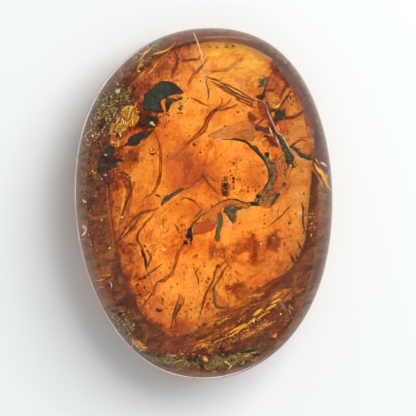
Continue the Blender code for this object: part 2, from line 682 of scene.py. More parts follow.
def addSlab(piece, points, level, thick=0.3, spacing=0.2, soft=0.4, ragged=0.09):
    # a closed flake: round-edged, thickest inside, with an uneven face
    tint, lean = piece.dice.random(), piece.dice.uniform(0, 50)
    corners, faces, edges = tiled(points, spacing, soft, ragged, lean)
    middle = sum(corners, Vector((0, 0))) / len(corners)
    upper, lower = [], []
    for at, edge in zip(corners, edges):
        flow = (at.x - middle.x, at.y - middle.y, lean)
        bulge = 0.5 * thick * sqrt(1 - edge * edge)
        wave = flake["relief"] * waver(at.x * flake["waves"], at.y * flake["waves"], lean)
        rough = flake["relief"] * waver(at.x * flake["pits"], at.y * flake["pits"], lean)
        top = piece.point(see(at.x, at.y, level, wave + bulge + rough * (1 - edge)), flow, edge, tint)
        upper.append(top)
        if edge >= 1.0:
            lower.append(top)
        else:
            lower.append(piece.point(see(at.x, at.y, level, wave - bulge), flow, edge, tint))
    for face in faces:
        piece.bm.faces.new([upper[i] for i in face])
        if any(lower[i] is not upper[i] for i in face):
            piece.bm.faces.new([lower[i] for i in reversed(face)])


def addSheet(piece, points, level, spacing=0.35, soft=1.0, relief=0.2, lie=0.0, ragged=0.0, tintAt=None):
    # a single thin skin, such as a stained flow line between two pours of resin
    tint, lean = piece.dice.random(), piece.dice.uniform(0, 50)
    corners, faces, edges = tiled(points, spacing, soft, ragged, lean)
    middle = sum(corners, Vector((0, 0))) / len(corners)
    made = []
    for at, edge in zip(corners, edges):
        flow = flowAt(at - middle, lie, lean)
        wave = relief * waver(at.x * flake["skinWaves"], at.y * flake["skinWaves"], lean)
        shade = tintAt(at.x, at.y) if tintAt else tint
        made.append(piece.point(see(at.x, at.y, level, wave), flow, edge, shade))
    for face in faces:
        piece.bm.faces.new([made[i] for i in face])


def addSheets(piece, sheets, *size, **shape):
    # several skins, each with its own outline and share of the way up
    for outline, level in sheets:
        addSheet(piece, outline, level, *size, **shape)


crumb = {
    "simpleBelow": 0.35,  # mm
    "lumps": 0.45,
    "lumpPace": 2.3,
    "height": 0.6,
    "within": (0.05, 0.96),  # shares of the way up
}


def addGrain(piece, x, y, level, size, stretch=1.0, tint=None):
    # one irregular crumb, size mm across
    dice = piece.dice
    tint = dice.random() if tint is None else tint
    turn = dice.uniform(0, pi)
    lowest, highest = crumb["within"]
    middle = see(x, y, min(max(level, lowest), highest))
    lean = dice.uniform(0, 90)
    fine = 1 if size < crumb["simpleBelow"] else 2
    made = bmesh.ops.create_icosphere(piece.bm, subdivisions=fine, radius=0.5)["verts"]
    long, short = sqrt(stretch), 1 / sqrt(stretch)
    for vert in made:
        lump = 1 + crumb["lumps"] * noise.noise(vert.co * crumb["lumpPace"] + Vector((lean, 0, 0)))
        x0 = vert.co.x * size * long * lump
        y0 = vert.co.y * size * short * lump
        z0 = vert.co.z * size * crumb["height"] * lump
        vert[piece.flow] = (x0, y0, lean)
        vert[piece.edge] = 0.5
        vert[piece.tint] = tint
        vert.co = middle + Vector((x0 * cos(turn) - y0 * sin(turn),
            x0 * sin(turn) + y0 * cos(turn), z0)) * mm


def addGrains(piece, grains, level, stretch, tint=None):
    # single crumbs, each with its own place and size
    for x, y, size in grains:
        addGrain(piece, x, y, level, size, stretch, tint)


def oval(x, y, long, wide, turn=0.0, corners=12):
    # an outline for what is strewn or fades, its half axes in mm
    around = [2 * pi * i / corners for i in range(corners)]
    return [(x + long * cos(a) * cos(turn) - wide * sin(a) * sin(turn),
        y + long * cos(a) * sin(turn) + wide * sin(a) * cos(turn)) for a in around]


def addCrumbs(piece, points, count, size, level, stretch=(1.0, 2.2)):
    # crumbs strewn inside an outline
    outline = [Vector(p) for p in points]
    xs, ys = [p.x for p in outline], [p.y for p in outline]
    while count:
        x, y = piece.dice.uniform(min(xs), max(xs)), piece.dice.uniform(min(ys), max(ys))
        if inOutline(x, y, outline):
            small, large = size
            addGrain(piece, x, y, piece.dice.uniform(*level),
                small + (large - small) * piece.dice.random() ** 2, piece.dice.uniform(*stretch))
            count -= 1


def addLitter(piece, rows):
    # crumbs in several outlines, one after the other
    for outline, count, size, level, stretch in rows:
        addCrumbs(piece, outline, count, size, level, stretch)


# Materials of what is sealed in
embeddedIor = 1.1  # plant matter in resin shines much less than in air


def ramp(tree, factor, stops):
    made = node(tree, "ValToRGB", {"Fac": factor})
    elements = made.color_ramp.elements
    for element, (place, colour) in zip((elements[0], elements[1]), (stops[0], stops[-1])):
        element.position = place
        element.color = (*colour, 1.0)
    for place, colour in stops[1:-1]:
        elements.new(place).color = (*colour, 1.0)
    return made.outputs["Color"]


def grain(tree, size, stretch=(1.0, 1.0, 1.0), detail=5.0, twist=0.4):
    # noise in the piece's own millimetres, finer across the flow than along it
    flow = node(tree, "Attribute", attribute_name="flow")
    fit = node(tree, "Mapping", {"Vector": flow.outputs["Vector"], "Scale": [s / size for s in stretch]})
    made = node(tree, "TexNoise", {"Vector": fit.outputs["Vector"], "Scale": 1.0, "Detail": detail,
        "Roughness": 0.62, "Distortion": twist})
    return made.outputs["Fac"]


def blend(tree, factor, a, b):
    made = node(tree, "Mix", {"Factor": factor}, data_type="RGBA")
    for socket, value in zip((made.inputs[6], made.inputs[7]), (a, b)):
        if isinstance(value, bpy.types.NodeSocket):
            tree.links.new(value, socket)
        else:
            socket.default_value = (*value, 1.0)
    return made.outputs[2]


def sums(tree, kind, a, b, clamp=False):
    made = node(tree, "Math", operation=kind, use_clamp=clamp)
    for socket, value in zip(made.inputs, (a, b)):
        if isinstance(value, bpy.types.NodeSocket):
            tree.links.new(value, socket)
        else:
            socket.default_value = value
    return made.outputs[0]


def plus(tree, a, b, clamp=False):
    return sums(tree, "ADD", a, b, clamp)


def times(tree, a, b, clamp=False):
    return sums(tree, "MULTIPLY", a, b, clamp)


def stored(tree, name):
    return node(tree, "Attribute", attribute_name=name).outputs["Fac"]


def scaled(tree, value, low, high, outLow=0.0, outHigh=1.0):
    return node(tree, "MapRange", {"Value": value, "From Min": low, "From Max": high, "To Min": outLow,
        "To Max": outHigh}).outputs["Result"]


def mixClear(tree, shader, solid, colour):
    # solid is the share of the shader, and the rest lets tinted light straight through
    clear = node(tree, "BsdfTransparent", {"Color": colour})
    mix = node(tree, "MixShader", {"Fac": solid})
    tree.links.new(clear.outputs[0], mix.inputs[1])
    tree.links.new(shader.outputs[0], mix.inputs[2])
    tree.links.new(mix.outputs[0], tree.nodes["Material Output"].inputs["Surface"])


def tissue(name, look):
    # a material that is partly solid and partly lets tinted light through
    material, tree, shader = nodeMaterial(name)
    shader.inputs["IOR"].default_value = embeddedIor
    along = look.get("stretch", (1.0, 1.0, 1.0))
    fine = grain(tree, look["grain"], along, 6.0, 0.8)
    coarse = grain(tree, look["grain"] * 4.0, along, 4.0, 1.0)
    edge = stored(tree, "edge")
    tint = stored(tree, "tint")
    mixed = plus(tree, times(tree, fine, 0.5), times(tree, coarse, 0.5))
    reach = 0.5 / look.get("contrast", 1.6)
    strong = scaled(tree, mixed, 0.5 - reach, 0.5 + reach)
    shift = times(tree, sums(tree, "SUBTRACT", tint, 0.5), look.get("vary", 0.15))
    tinted = plus(tree, strong, shift)
    tree.links.new(ramp(tree, tinted, look["body"]), shader.inputs["Base Color"])
    tree.links.new(scaled(tree, coarse, 0.3, 0.7, *look.get("roughness", (0.35, 0.7))),
        shader.inputs["Roughness"])
    bump = node(tree, "Bump", {"Height": mixed, "Strength": look.get("bump", 0.8), "Distance": 0.0001})
    tree.links.new(bump.outputs["Normal"], shader.inputs["Normal"])
    if "passes" in look:
        weight = look.get("edgeWeight", 0.0 if look.get("fades") else 0.3)
        rim = times(tree, sums(tree, "POWER", edge, look.get("edgePower", 2.0)), weight)
        thick = scaled(tree, plus(tree, tinted, rim), *look.get("window", (0.38, 0.62)))
        if look.get("fades"):
            thick = times(tree, thick, scaled(tree, edge, 0.0, 1.0, 1.0, 0.0))
            solid = times(tree, scaled(tree, thick, 0.0, 1.0, *look["solid"]),
                scaled(tree, edge, 0.4, 1.0, 1.0, 0.0))
        else:
            solid = scaled(tree, thick, 0.0, 1.0, *look["solid"])
        mixClear(tree, shader, solid, blend(tree, thick, *look["passes"]))
    return material


# Stained resin: whole-width skins between the pours, redder in some places than in others
def stainAt(x, y, lobes):
    total = 0.0
    for midX, midY, wide, tall, amount in lobes:
        total += amount * exp(-0.5 * (((x - midX) / wide) ** 2 + ((y - midY) / tall) ** 2))
    return min(total, 1.6)


def makeStains():
    # middle x and y, reach across and along, strength
    lobes = [
        (-11.4, 0.5, 1.2, 7.5, 0.7), (-9.0, 0.5, 1.2, 4.5, 0.5), (-8.0, -7.6, 1.3, 2.6, 1.0),
        (12.1, 1.5, 0.9, 8.0, 0.7), (1.7, -4.8, 1.2, 0.8, 0.7),
        (9.6, -8.2, 1.6, 1.0, 0.7), (-1.6, 4.2, 1.6, 1.9, 0.9), (0.6, 1.6, 1.2, 1.8, 0.3),
        (-0.6, -1.2, 1.8, 0.9, 0.3), (-3.9, 12.3, 1.2, 1.2, 0.5), (-3.2, 14.4, 1.8, 1.0, 0.6),
        (-6.8, 12.6, 2.0, 2.2, 0.6), (-7.2, 9.4, 1.1, 2.0, 0.8), (-6.3, 7.9, 1.4, 0.8, 0.7),
        (-8.3, 4.3, 1.6, 1.3, 0.6), (-9.6, 2, 0.9, 1.6, 0.4), (6.0, 9.6, 1.0, 1.3, 0.8),
        (7.2, 8.3, 1.0, 1.4, 0.7), (7, 6.2, 0.8, 1.2, 0.6), (11.2, 7.6, 0.6, 3.0, 0.9),
        (1.5, -14.4, 7.5, 2.3, 0.4), (-6.4, -12.3, 2.4, 2.0, 0.7), (8.8, -11.0, 2.4, 2.4, 0.5),
        (-2.4, -4.4, 1.3, 1.5, 0.5), (-5.2, 8.8, 1.3, 1.2, 0.3), (6.6, 1.6, 1.2, 1.6, 0.4),
        (7.6, 13.2, 1.6, 1.2, 0.7), (6.9, -3.5, 1.0, 0.9, 0.7), (4.9, -4.2, 0.8, 1.1, 0.6),
        (7.8, -5.8, 2.6, 1.8, 0.32), (3.0, -8.0, 2.6, 1.4, 0.2),
    ]
    look = {
        "levels": (0.18, 0.42, 0.68),
        "inset": 0.985,
        "waves": 0.9,
        "strength": 0.6,
        "veins": 0.24,
        "clear": (0.999, 0.99, 0.97),
        "middle": (0.94, 0.77, 0.66),
        "deep": (0.54, 0.3, 0.24),
    }
    outline = [(x * look["inset"], y * look["inset"]) for x, y in planOutline(40)]
    for i, level in enumerate(look["levels"]):
        material, tree, shader = nodeMaterial("stainedResin%d" % (i + 1))
        tint = stored(tree, "tint")
        clouds = grain(tree, 2.2, (1.0, 1.0, 1.0), 3.6, 1.6)
        wisps = grain(tree, 0.9, (0.5, 1.2, 1.0), 3.6, 1.6)
        mottle = plus(tree, scaled(tree, clouds, 0.38, 0.64, -0.34, 0.3),
            scaled(tree, wisps, 0.38, 0.68, -0.2, 0.22))
        lines = grain(tree, 2.3, (0.6, 1.3, 1.0), 4.0, 1.2)
        gap = sums(tree, "ABSOLUTE", sums(tree, "SUBTRACT", lines, 0.5), 0.0)
        mottle = plus(tree, mottle, scaled(tree, gap, 0.0, 0.02, look["veins"], 0.0))
        depth = plus(tree, times(tree, tint, plus(tree, mottle, 0.85)), mottle, True)
        shade = ramp(tree, depth, [(0.0, look["clear"]), (0.4, look["middle"]), (1.0, look["deep"])])
        shader.inputs["Base Color"].default_value = (0.36, 0.1, 0.03, 1.0)
        shader.inputs["IOR"].default_value = embeddedIor
        mixClear(tree, shader, times(tree, depth, 0.08), shade)
        sheet = Piece("resinSkin%d" % (i + 1), 31 + i)
        addSheet(sheet, outline, level, 0.4, 0.3, relief=look["waves"],
            lie=0.7 + 0.5 * i, tintAt=lambda x, y: stainAt(x, y, lobes) * look["strength"])
        sheet.done(material)


makeStains()
print("resin skins made")


# Charred bark: the black flakes at the upper left and the chunk in the middle
def makeBark():
    grey = {
        "grain": 0.13, "contrast": 2.4,
        "body": [(0.2, (0.008, 0.008, 0.005)), (0.5, (0.028, 0.029, 0.02)), (0.8, (0.08, 0.08, 0.052))],
        "roughness": (0.35, 0.75),
    }
    black = {
        "grain": 0.14, "contrast": 1.8,
        "body": [(0.3, (0.006, 0.005, 0.004)), (0.55, (0.026, 0.02, 0.013)), (0.8, (0.13, 0.075, 0.03))],
        "roughness": (0.4, 0.8),
    }
    greyBark, blackBark = tissue("charredBark", grey), tissue("blackenedBark", black)
    big = Piece("barkFlake", 3)
    addSlab(big, [(-6, 9.3), (-6, 10.6), (-5.6, 11.2), (-5.1, 11.5), (-4.7, 12), (-4.1, 12.2), (-3, 12),
        (-2, 11.1), (-2.2, 10.9), (-3.1, 10.8), (-4.2, 10.2), (-4.2, 9.6), (-4, 9.1), (-4.7, 9),
        (-5.4, 9.2)], 0.9, 0.5, 0.11, 0.3, ragged=0.1)
    addSlab(big, [(-3.8, 10.3), (-3.2, 10.5), (-2.7, 10.4), (-2.1, 10.6), (-2.2, 10.3), (-3.1, 10),
        (-3.5, 9.2), (-3.8, 9.3)], 0.89, 0.35, 0.1, 0.2)
    addSlab(big, [(-2.8, 9), (-2.4, 9.08), (-2.05, 9.05), (-2.1, 8.93), (-2.6, 8.92)], 0.9, 0.15, 0.1, 0.1)
    addSlab(big, [(-5.9, 8.1), (-5.7, 8.5), (-5.3, 8.7), (-4.9, 8.6), (-4.6, 8.2), (-4.7, 7.7), (-5.1, 7.4),
        (-5.5, 7.6), (-5.8, 7.8)], 0.9, 0.3, 0.09, 0.2, ragged=0.12)
    addCrumbs(big, oval(-2.4, 9.7, 0.4, 0.3, -1.1), 14, (0.1, 0.28), (0.86, 0.93))
    addCrumbs(big, [(-4.1, 10.5), (-2, 10.7), (-2.1, 10.4), (-3.4, 10.3), (-3.7, 9.3), (-4.1, 9.3)],
        22, (0.08, 0.24), (0.84, 0.92))
    addCrumbs(big, oval(-4.7, 8.9, 1.4, 0.4), 22, (0.1, 0.3), (0.8, 0.93))
    big.done(greyBark)
    small = Piece("barkSplinters", 5)
    addSlab(small, [(-8.7, 5.4), (-7.8, 6), (-7.3, 6.6), (-6.6, 7), (-5.2, 7.2), (-5.4, 6.8), (-6, 6.4),
        (-6.5, 5.9), (-7, 5.7), (-7.8, 5.7)], 0.88, 0.35, 0.11, 0.25, ragged=0.14)
    addSlab(small, [(-10.6, 3.1), (-10.5, 4.3), (-10.1, 4.9), (-9.8, 5.4), (-9.3, 5.7), (-8.8, 5.5),
        (-9.1, 4.5), (-9.6, 4.3), (-9.9, 3.9), (-9.7, 3.4), (-10, 3.3)], 0.86, 0.5, 0.11, 0.3, ragged=0.16)
    addSlab(small, [(-9.9, 3.5), (-9.7, 4), (-9.2, 4.2), (-8.8, 4.5), (-8.2, 4.4), (-8.2, 4.2), (-8.7, 4),
        (-8.5, 3.7), (-9.4, 3.4)], 0.87, 0.3, 0.1, 0.2, ragged=0.16)
    addStrand(small, [(-5.6, 7.8), (-6.3, 7.7), (-7.1, 7.5)], (0.34, 0.22, 0.06), 0.88, wander=0.1)
    addCrumbs(small, oval(-4.9, 8.3, 1.5, 1.2), 60, (0.08, 0.26), (0.8, 0.92))
    addCrumbs(small, oval(-9.3, 4.3, 1.6, 1.4, 0.7), 70, (0.07, 0.24), (0.78, 0.92))
    addCrumbs(small, oval(-7.4, 4.4, 1.4, 0.9), 46, (0.06, 0.2), (0.6, 0.9))
    addCrumbs(small, oval(-4.8, 5.2, 0.8, 0.5, -0.1), 14, (0.08, 0.2), (0.8, 0.9))
    addStrand(small, [(-10.7, 3.2), (-9.7, 2.2), (-9.4, 1.3)], (0.2, 0.16, 0.12, 0.06), 0.84, wander=0.16)
    addStrand(small, [(-8.4, 3.1), (-7.8, 2.9), (-7.4, 2.5), (-7.3, 1.9)], (0.08, 0.16, 0.12, 0.06),
        0.86, wander=0.16)
    addCrumbs(small, oval(-8.6, 2.4, 1.7, 1, -0.3), 60, (0.06, 0.22), (0.7, 0.9))
    small.done(blackBark)
    chunk = Piece("blackChunk", 8)
    addSlab(chunk, [(-1.5, -2.5), (-1.2, -2.6), (-1.1, -3.5), (-1.3, -4.2), (-1.4, -4), (-1.4, -3.6),
        (-1.8, -3.4)], 0.86, 0.35, 0.09, 0.2, ragged=0.08)
    addSlab(chunk, [(-1.98, -3.75), (-1.73, -3.84), (-1.54, -4.05), (-1.63, -4.2), (-1.82, -4.16),
        (-1.99, -3.95)], 0.85, 0.2, 0.09, 0.15)
    addStrand(chunk, [(-1.3, -2.7), (-1, -2), (-0.8, -1.9)], (0.3, 0.26, 0.3, 0.1), 0.87, wander=0.08)
    addStrand(chunk, [(-2.9, -2.1), (-2.6, -2.6), (-2.6, -2.9)], (0.08, 0.16, 0.18, 0.08), 0.8)
    addCrumbs(chunk, oval(-1.6, -3, 1.1, 1), 26, (0.06, 0.18), (0.8, 0.9))
    chunk.done(blackBark)


# The long curved strip of plant skin at the right of the middle, its dark rib and its thin skins
def makeArc():
    strip = {
        "grain": 0.11, "contrast": 2, "stretch": (0.6, 1.3, 1),
        "body": [(0.15, (0.045, 0.024, 0.009)), (0.42, (0.19, 0.1, 0.036)), (0.6, (0.32, 0.19, 0.07)),
            (0.85, (0.55, 0.38, 0.17))],
        "passes": ((0.8, 0.55, 0.35), (0.3, 0.14, 0.08)), "solid": (0.6, 1),
    }
    membrane = {
        "grain": 0.14, "contrast": 1.8, "stretch": (0.3, 1.4, 1),
        "body": [(0.2, (0.2, 0.07, 0.018)), (0.5, (0.46, 0.21, 0.06)), (0.8, (0.75, 0.46, 0.19))],
        "passes": ((0.98, 0.86, 0.74), (0.58, 0.32, 0.22)), "solid": (0.05, 0.5), "edgeWeight": 0.5,
        "edgePower": 4, "window": (0.25, 0.85),
    }
    dark = {
        "grain": 0.08,
        "body": [(0.3, (0.02, 0.008, 0.004)), (0.55, (0.06, 0.028, 0.013)), (0.8, (0.15, 0.085, 0.04))],
    }
    arc = Piece("arcStrip", 11)
    addSlab(arc, [(5.8, 4.6), (6.2, 4.7), (6.9, 4), (7.3, 2.7), (6.7, 1.4), (6.2, 1.1), (5.9, 0.7),
        (5.2, 0.2), (5.1, 0.5), (5.9, 1.2), (6.4, 2.1), (6.5, 3.3)], 0.93, 0.2, 0.12, 0.25, ragged=0.1)
    addStrand(arc, [(7.1, 0.7), (6.6, 0.4), (6, 0.3), (4.9, -0.1), (4.6, -0.3)], (0.4, 0.5, 0.36, 0.3, 0.2),
        0.92, wander=0.1, flat=0.3)
    addStrand(arc, [(4.6, -0.2), (4.4, -0.5), (3.9, -0.5), (3, -0.3), (2.5, -0.3)],
        (0.3, 0.22, 0.16, 0.24, 0.3, 0.2), 0.93, flat=0.4, wander=0.06)
    arc.done(tissue("arcSkin", strip))
    rib = Piece("arcRib", 14)
    addStrand(rib, [(1.4, 6.3), (2.7, 6.4), (4, 6.2), (4.5, 5.9), (5.7, 4.7), (6.3, 3.8), (6.6, 2.8),
        (6.5, 2.2), (5.9, 1.3), (5.4, 0.9), (5.1, 0.6)], (0.06, 0.27, 0.25, 0.14, 0.1),
        0.945, flat=0.5, wander=0.04)
    addStrand(rib, [(4.9, 5.7), (5.2, 5.6), (5.5, 5.1), (5.8, 4.7), (6.2, 4.3)],
        (0.12, 0.24, 0.3, 0.26, 0.1), 0.94, flat=0.4)
    addStrand(rib, [(0.7, -0.5), (1.5, 0), (2.8, 0.4), (4.2, 0), (4.8, 0.1)], (0.06, 0.13, 0.13, 0.17, 0.16),
        0.93, flat=0.5)
    addStrand(rib, [(7.6, 1), (7.2, 0.5), (6.9, 0), (6.7, -0.4)], (0.3, 0.4, 0.3, 0.1),
        0.92, flat=0.3, wander=0.1)
    addCrumbs(rib, oval(8, 1.7, 0.4, 0.2, 1.3), 14, (0.1, 0.26), (0.92, 0.95))
    addSlab(rib, [(6.07, 5), (6.38, 5.04), (6.57, 4.9), (6.48, 4.61), (6.48, 4.36), (6.24, 4.37),
        (6.18, 4.65)], 0.93, 0.12, 0.09, 0.2, ragged=0.14)
    addSlab(rib, [(4.62, -0.09), (4.82, 0.16), (5.23, 0.11), (5.48, -0.08), (5.32, -0.3)],
        0.935, 0.2, 0.09, 0.2, ragged=0.14)
    addSlab(rib, [(5.23, 0.69), (5.43, 0.84), (5.68, 0.8), (5.62, 0.55), (5.38, 0.45)],
        0.94, 0.15, 0.09, 0.2, ragged=0.12)
    addStrand(rib, [(5.93, 6.59), (6.23, 6.69), (6.62, 6.59)], 0.26, 0.92)
    addCrumbs(rib, oval(6.9, 2.9, 1.6, 0.5, -1.6), 60, (0.07, 0.22), (0.93, 0.955))
    addCrumbs(rib, [(7.2, 4.6), (7.8, 4.7), (8.4, 3.1), (8, 1.7), (7.9, 4.1)], 40, (0.07, 0.2), (0.91, 0.94))
    addCrumbs(rib, oval(6.2, 0.6, 0.9, 0.6, 0.3), 34, (0.07, 0.22), (0.92, 0.95))
    rib.done(tissue("arcDarkRib", dark))
    skins = Piece("arcMembrane", 12)
    addSheet(skins, [(6.4, 4.5), (6.8, 4.2), (7.7, 4.6), (8.2, 3.9), (8.3, 2.7), (8.1, 1.7), (7.5, 1.3),
        (7.1, 0.6), (6.2, 0.6), (6.3, 1.1), (7, 2.1), (7, 3.5)], 0.91, 0.14, 0.4, 0.08, lie=1.45, ragged=0.1)
    addSheet(skins, [(6.4, 4.5), (6.8, 4.2), (7.3, 4.5), (7.5, 4.3), (7.2, 3), (7.3, 2.5), (6.9, 1.7),
        (6.6, 1.7), (7, 2.3), (7, 3.3)], 0.915, 0.14, 0.5, 0.08, lie=1.3, ragged=0.1)
    addSheet(skins, [(7.1, 1.6), (7.8, 1.4), (7.4, 1.1), (7.3, 0.7), (6, 0.4), (6.2, 0.9)],
        0.905, 0.14, 0.4, 0.08, lie=0.8, ragged=0.1)
    addSheet(skins, [(5.4, -0.1), (6.6, 0.3), (7.2, 0.6), (6.7, -0.4), (6.2, -0.5)],
        0.89, 0.14, 0.3, 0.08, lie=0.2, ragged=0.1)
    addSheet(skins, [(0.7, 7), (3.5, 8.1), (4.7, 8.2), (5.2, 7.2), (4.9, 6.3), (3.4, 6.5), (0.8, 6.5)],
        0.9, 0.16, 0.5, 0.1, lie=0.15, ragged=0.08)
    addSheet(skins, [(3.5, 7.3), (4.9, 7.5), (5.2, 7.1), (4.9, 6.2), (3.2, 6.8)],
        0.905, 0.14, 0.6, 0.1, lie=0.6, ragged=0.12)
    addSheet(skins, [(0.8, -0.4), (2.2, 0.3), (4.5, -0.1), (3.9, -0.4), (3.2, -0.2), (1.9, -0.5),
        (1.2, -2.2), (0.8, -2), (0.1, -1.9), (-0.1, -1.4)], 0.88, 0.15, 0.4, 0.1, lie=0.5, ragged=0.08)
    addSheet(skins, [(1, -8.5), (1.8, -9.6), (2.7, -10.3), (1.3, -10.5), (1, -10)],
        0.85, 0.12, 0.5, lie=1.2, ragged=0.15)
    skins.done(tissue("arcBrownSkin", membrane))
    streak = Piece("paleStreaks", 16)
    addSheet(streak, [(2, 6.9), (3.5, 7.4), (4.4, 7.4), (4.6, 7.3), (2.2, 6.7)],
        0.91, 0.12, 0.3, 0.04, lie=0.15)
    addSheet(streak, [(7.3, 3.9), (7.9, 3.9), (7.5, 2.1), (7.3, 2.3), (7.4, 3.1)],
        0.915, 0.12, 0.3, 0.04, lie=1.5)
    addSheet(streak, [(0.6, 6.4), (1.1, 6.4), (1.7, 6.4), (1.9, 6.3), (1.5, 6.1)], 0.94, 0.1, 0.2)
    addSheet(streak, [(5.1, 5.9), (5.3, 6.1), (6.2, 6.6), (6, 6.3), (5.6, 6), (5.2, 5.7)],
        0.93, 0.1, 0.2, lie=0.6, ragged=0.1)
    addSheet(streak, [(6, -5.4), (6.3, -5.3), (6.7, -5.9), (6.8, -6.7), (6.2, -6.7)],
        0.9, 0.11, 0.25, lie=1.3, ragged=0.1)
    streak.done(tissue("paleTissue", {
        "grain": 0.09, "contrast": 1.8, "stretch": (0.3, 1.3, 1),
        "body": [(0.25, (0.34, 0.16, 0.06)), (0.5, (0.58, 0.33, 0.14)), (0.75, (0.82, 0.62, 0.36))],
        "passes": ((0.98, 0.86, 0.7), (0.75, 0.48, 0.3)), "solid": (0.05, 0.62), "edgeWeight": -0.4,
        "window": (0.25, 0.75),
    }))


# Olive leaf scraps, the seed with its stem, and the pale and reddish skins beside them
def makeLeaves():
    olive = {
        "grain": 0.08, "contrast": 2.6,
        "body": [(0.1, (0.012, 0.009, 0.004)), (0.42, (0.07, 0.046, 0.015)), (0.6, (0.16, 0.112, 0.038)),
            (0.85, (0.44, 0.35, 0.17))],
    }
    cream = {
        "grain": 0.12,
        "body": [(0.3, (0.55, 0.22, 0.09)), (0.5, (0.75, 0.38, 0.18)), (0.8, (0.9, 0.58, 0.34))],
        "passes": ((1, 0.85, 0.7), (0.9, 0.6, 0.4)), "solid": (0.2, 0.6), "edgeWeight": -0.4,
    }
    red = {
        "grain": 0.2,
        "body": [(0.3, (0.24, 0.045, 0.016)), (0.5, (0.44, 0.11, 0.04)), (0.8, (0.65, 0.24, 0.1))],
        "passes": ((0.8, 0.5, 0.4), (0.36, 0.12, 0.09)), "solid": (0.1, 0.5), "window": (0.2, 0.9),
    }
    green = Piece("oliveLeaf", 21)
    addSlab(green, [(2, -0.6), (2.3, -0.3), (2.8, -0.2), (3.8, -0.4), (3.6, -0.7), (3.3, -0.8), (3.2, -1.1),
        (3.3, -1.5), (2.9, -2), (2.2, -1.1), (2, -0.9)], 0.93, 0.25, 0.1, 0.2, ragged=0.12)
    addSlab(green, [(1.7, -0.9), (1.9, -1.3), (1.9, -2.2), (1.7, -2.6), (1.6, -3.5), (1.4, -3.8),
        (1.1, -3.5), (1.4, -2), (1.5, -1.1)], 0.92, 0.2, 0.1, 0.2, ragged=0.1)
    addStrand(green, [(-4.3, -0.3), (-3.7, 0.4), (-2.4, 1.2), (-1.4, 1.6), (-0.8, 2.1), (-0.2, 2.5)],
        (0.12, 0.42, 0.55, 0.45, 0.25, 0.14, 0.11, 0.1, 0.12, 0.14), 0.9, flat=0.5, sides=10, wander=0.06)
    addStrand(green, [(-0.3, 2.5), (-0.1, 2.8), (0, 3.3)], 0.3, 0.92, flat=0.4)
    addStrand(green, [(-1.2, -2.6), (-1, -2.1), (-0.4, -1.4)], (0.2, 0.3, 0.26, 0.16), 0.88, wander=0.08)
    addStrand(green, [(-0.9, -1.5), (-0.6, -1.2), (-0.1, -0.5)], (0.1, 0.22, 0.2, 0.18, 0.1),
        0.89, wander=0.08)
    addStrand(green, [(-0.5, -1.6), (-0.3, -1.3), (0, -1.1), (0.3, -0.9)], (0.1, 0.18, 0.16, 0.08),
        0.89, wander=0.08)
    addStrand(green, [(0.12, -1.7), (0.43, -1.61), (0.74, -1.7)], 0.16, 0.88)
    addCrumbs(green, oval(-11.2, -0.5, 0.4, 0.2, 0.8), 8, (0.16, 0.36), (0.9, 0.94))
    addGrain(green, -10.85, 0.75, 0.93, 0.4, 1.3)
    addSlab(green, [(5.6, 12.3), (6.5, 12.6), (6.5, 12.3), (6.2, 12.1), (6.2, 11.9), (6, 11.7), (5.8, 11.8),
        (5.5, 11.6), (5.6, 12)], 0.93, 0.3, 0.1, 0.2, ragged=0.16)
    addCrumbs(green, oval(5.9, 12.1, 0.7, 0.5, 0.6), 20, (0.08, 0.24), (0.92, 0.95))
    addStrand(green, [(1, -8.3), (1, -8.8), (1.1, -10), (1.3, -10.4), (1.9, -10.5), (2.5, -10.3)],
        (0.1, 0.24, 0.2, 0.3, 0.24, 0.2, 0.06), 0.86, flat=0.4, wander=0.12)
    addStrand(green, [(5.1, -12.2), (5.4, -12.7), (5.8, -13), (6.4, -13.6)], (0.08, 0.16, 0.2, 0.26),
        0.9, wander=0.12)
    addStrand(green, [(4.9, -12.8), (5.3, -12.7), (5.7, -13)], 0.12, 0.9, wander=0.12)
    addCrumbs(green, oval(2.7, -1, 0.9, 0.7, -1.2), 20, (0.06, 0.18), (0.94, 0.955), (1, 3))
    addCrumbs(green, oval(1.5, -2.4, 1.5, 0.4, 1.4), 20, (0.06, 0.16), (0.93, 0.95), (1, 3))
    green.done(tissue("oliveLeafSkin", olive))
    pale = Piece("creamPatches", 23)
    addSheet(pale, [(3.27, -0.84), (3.82, -0.84), (3.66, -1.2), (3.32, -1.64), (3.26, -1.3)],
        0.925, 0.1, 0.2)
    addSheet(pale, [(2, -2.3), (2.3, -1.7), (2.5, -1.5), (2.8, -1.8), (3.1, -1.9), (2.9, -2.3), (2.5, -2.5)],
        0.92, 0.1, 0.25)
    pale.done(tissue("creamSkin", cream))
    redSkin = Piece("redSkins", 25)
    addSheet(redSkin, [(-0.7, -2), (1.2, -1.8), (1.1, -2.5), (0.5, -2.9), (-1, -3.2)],
        0.87, 0.13, 0.3, 0.06, lie=0.1, ragged=0.08)
    addSheet(redSkin, [(1.8, 1.9), (2.1, 2.1), (2.5, 2), (2.7, 1.6), (2.6, 1.3), (2.1, 1.3), (1.8, 1.5)],
        0.85, 0.12, 0.3, lie=0.3, ragged=0.12)
    addSheet(redSkin, [(1.73, 1.11), (2.23, 1.25), (2.62, 1.16), (2.57, 0.8), (2.23, 0.64), (1.82, 0.75)],
        0.85, 0.12, 0.3, lie=0.3, ragged=0.12)
    redSkin.done(tissue("redSkin", red))


makeBark()
makeArc()
makeLeaves()
print("plant pieces made")


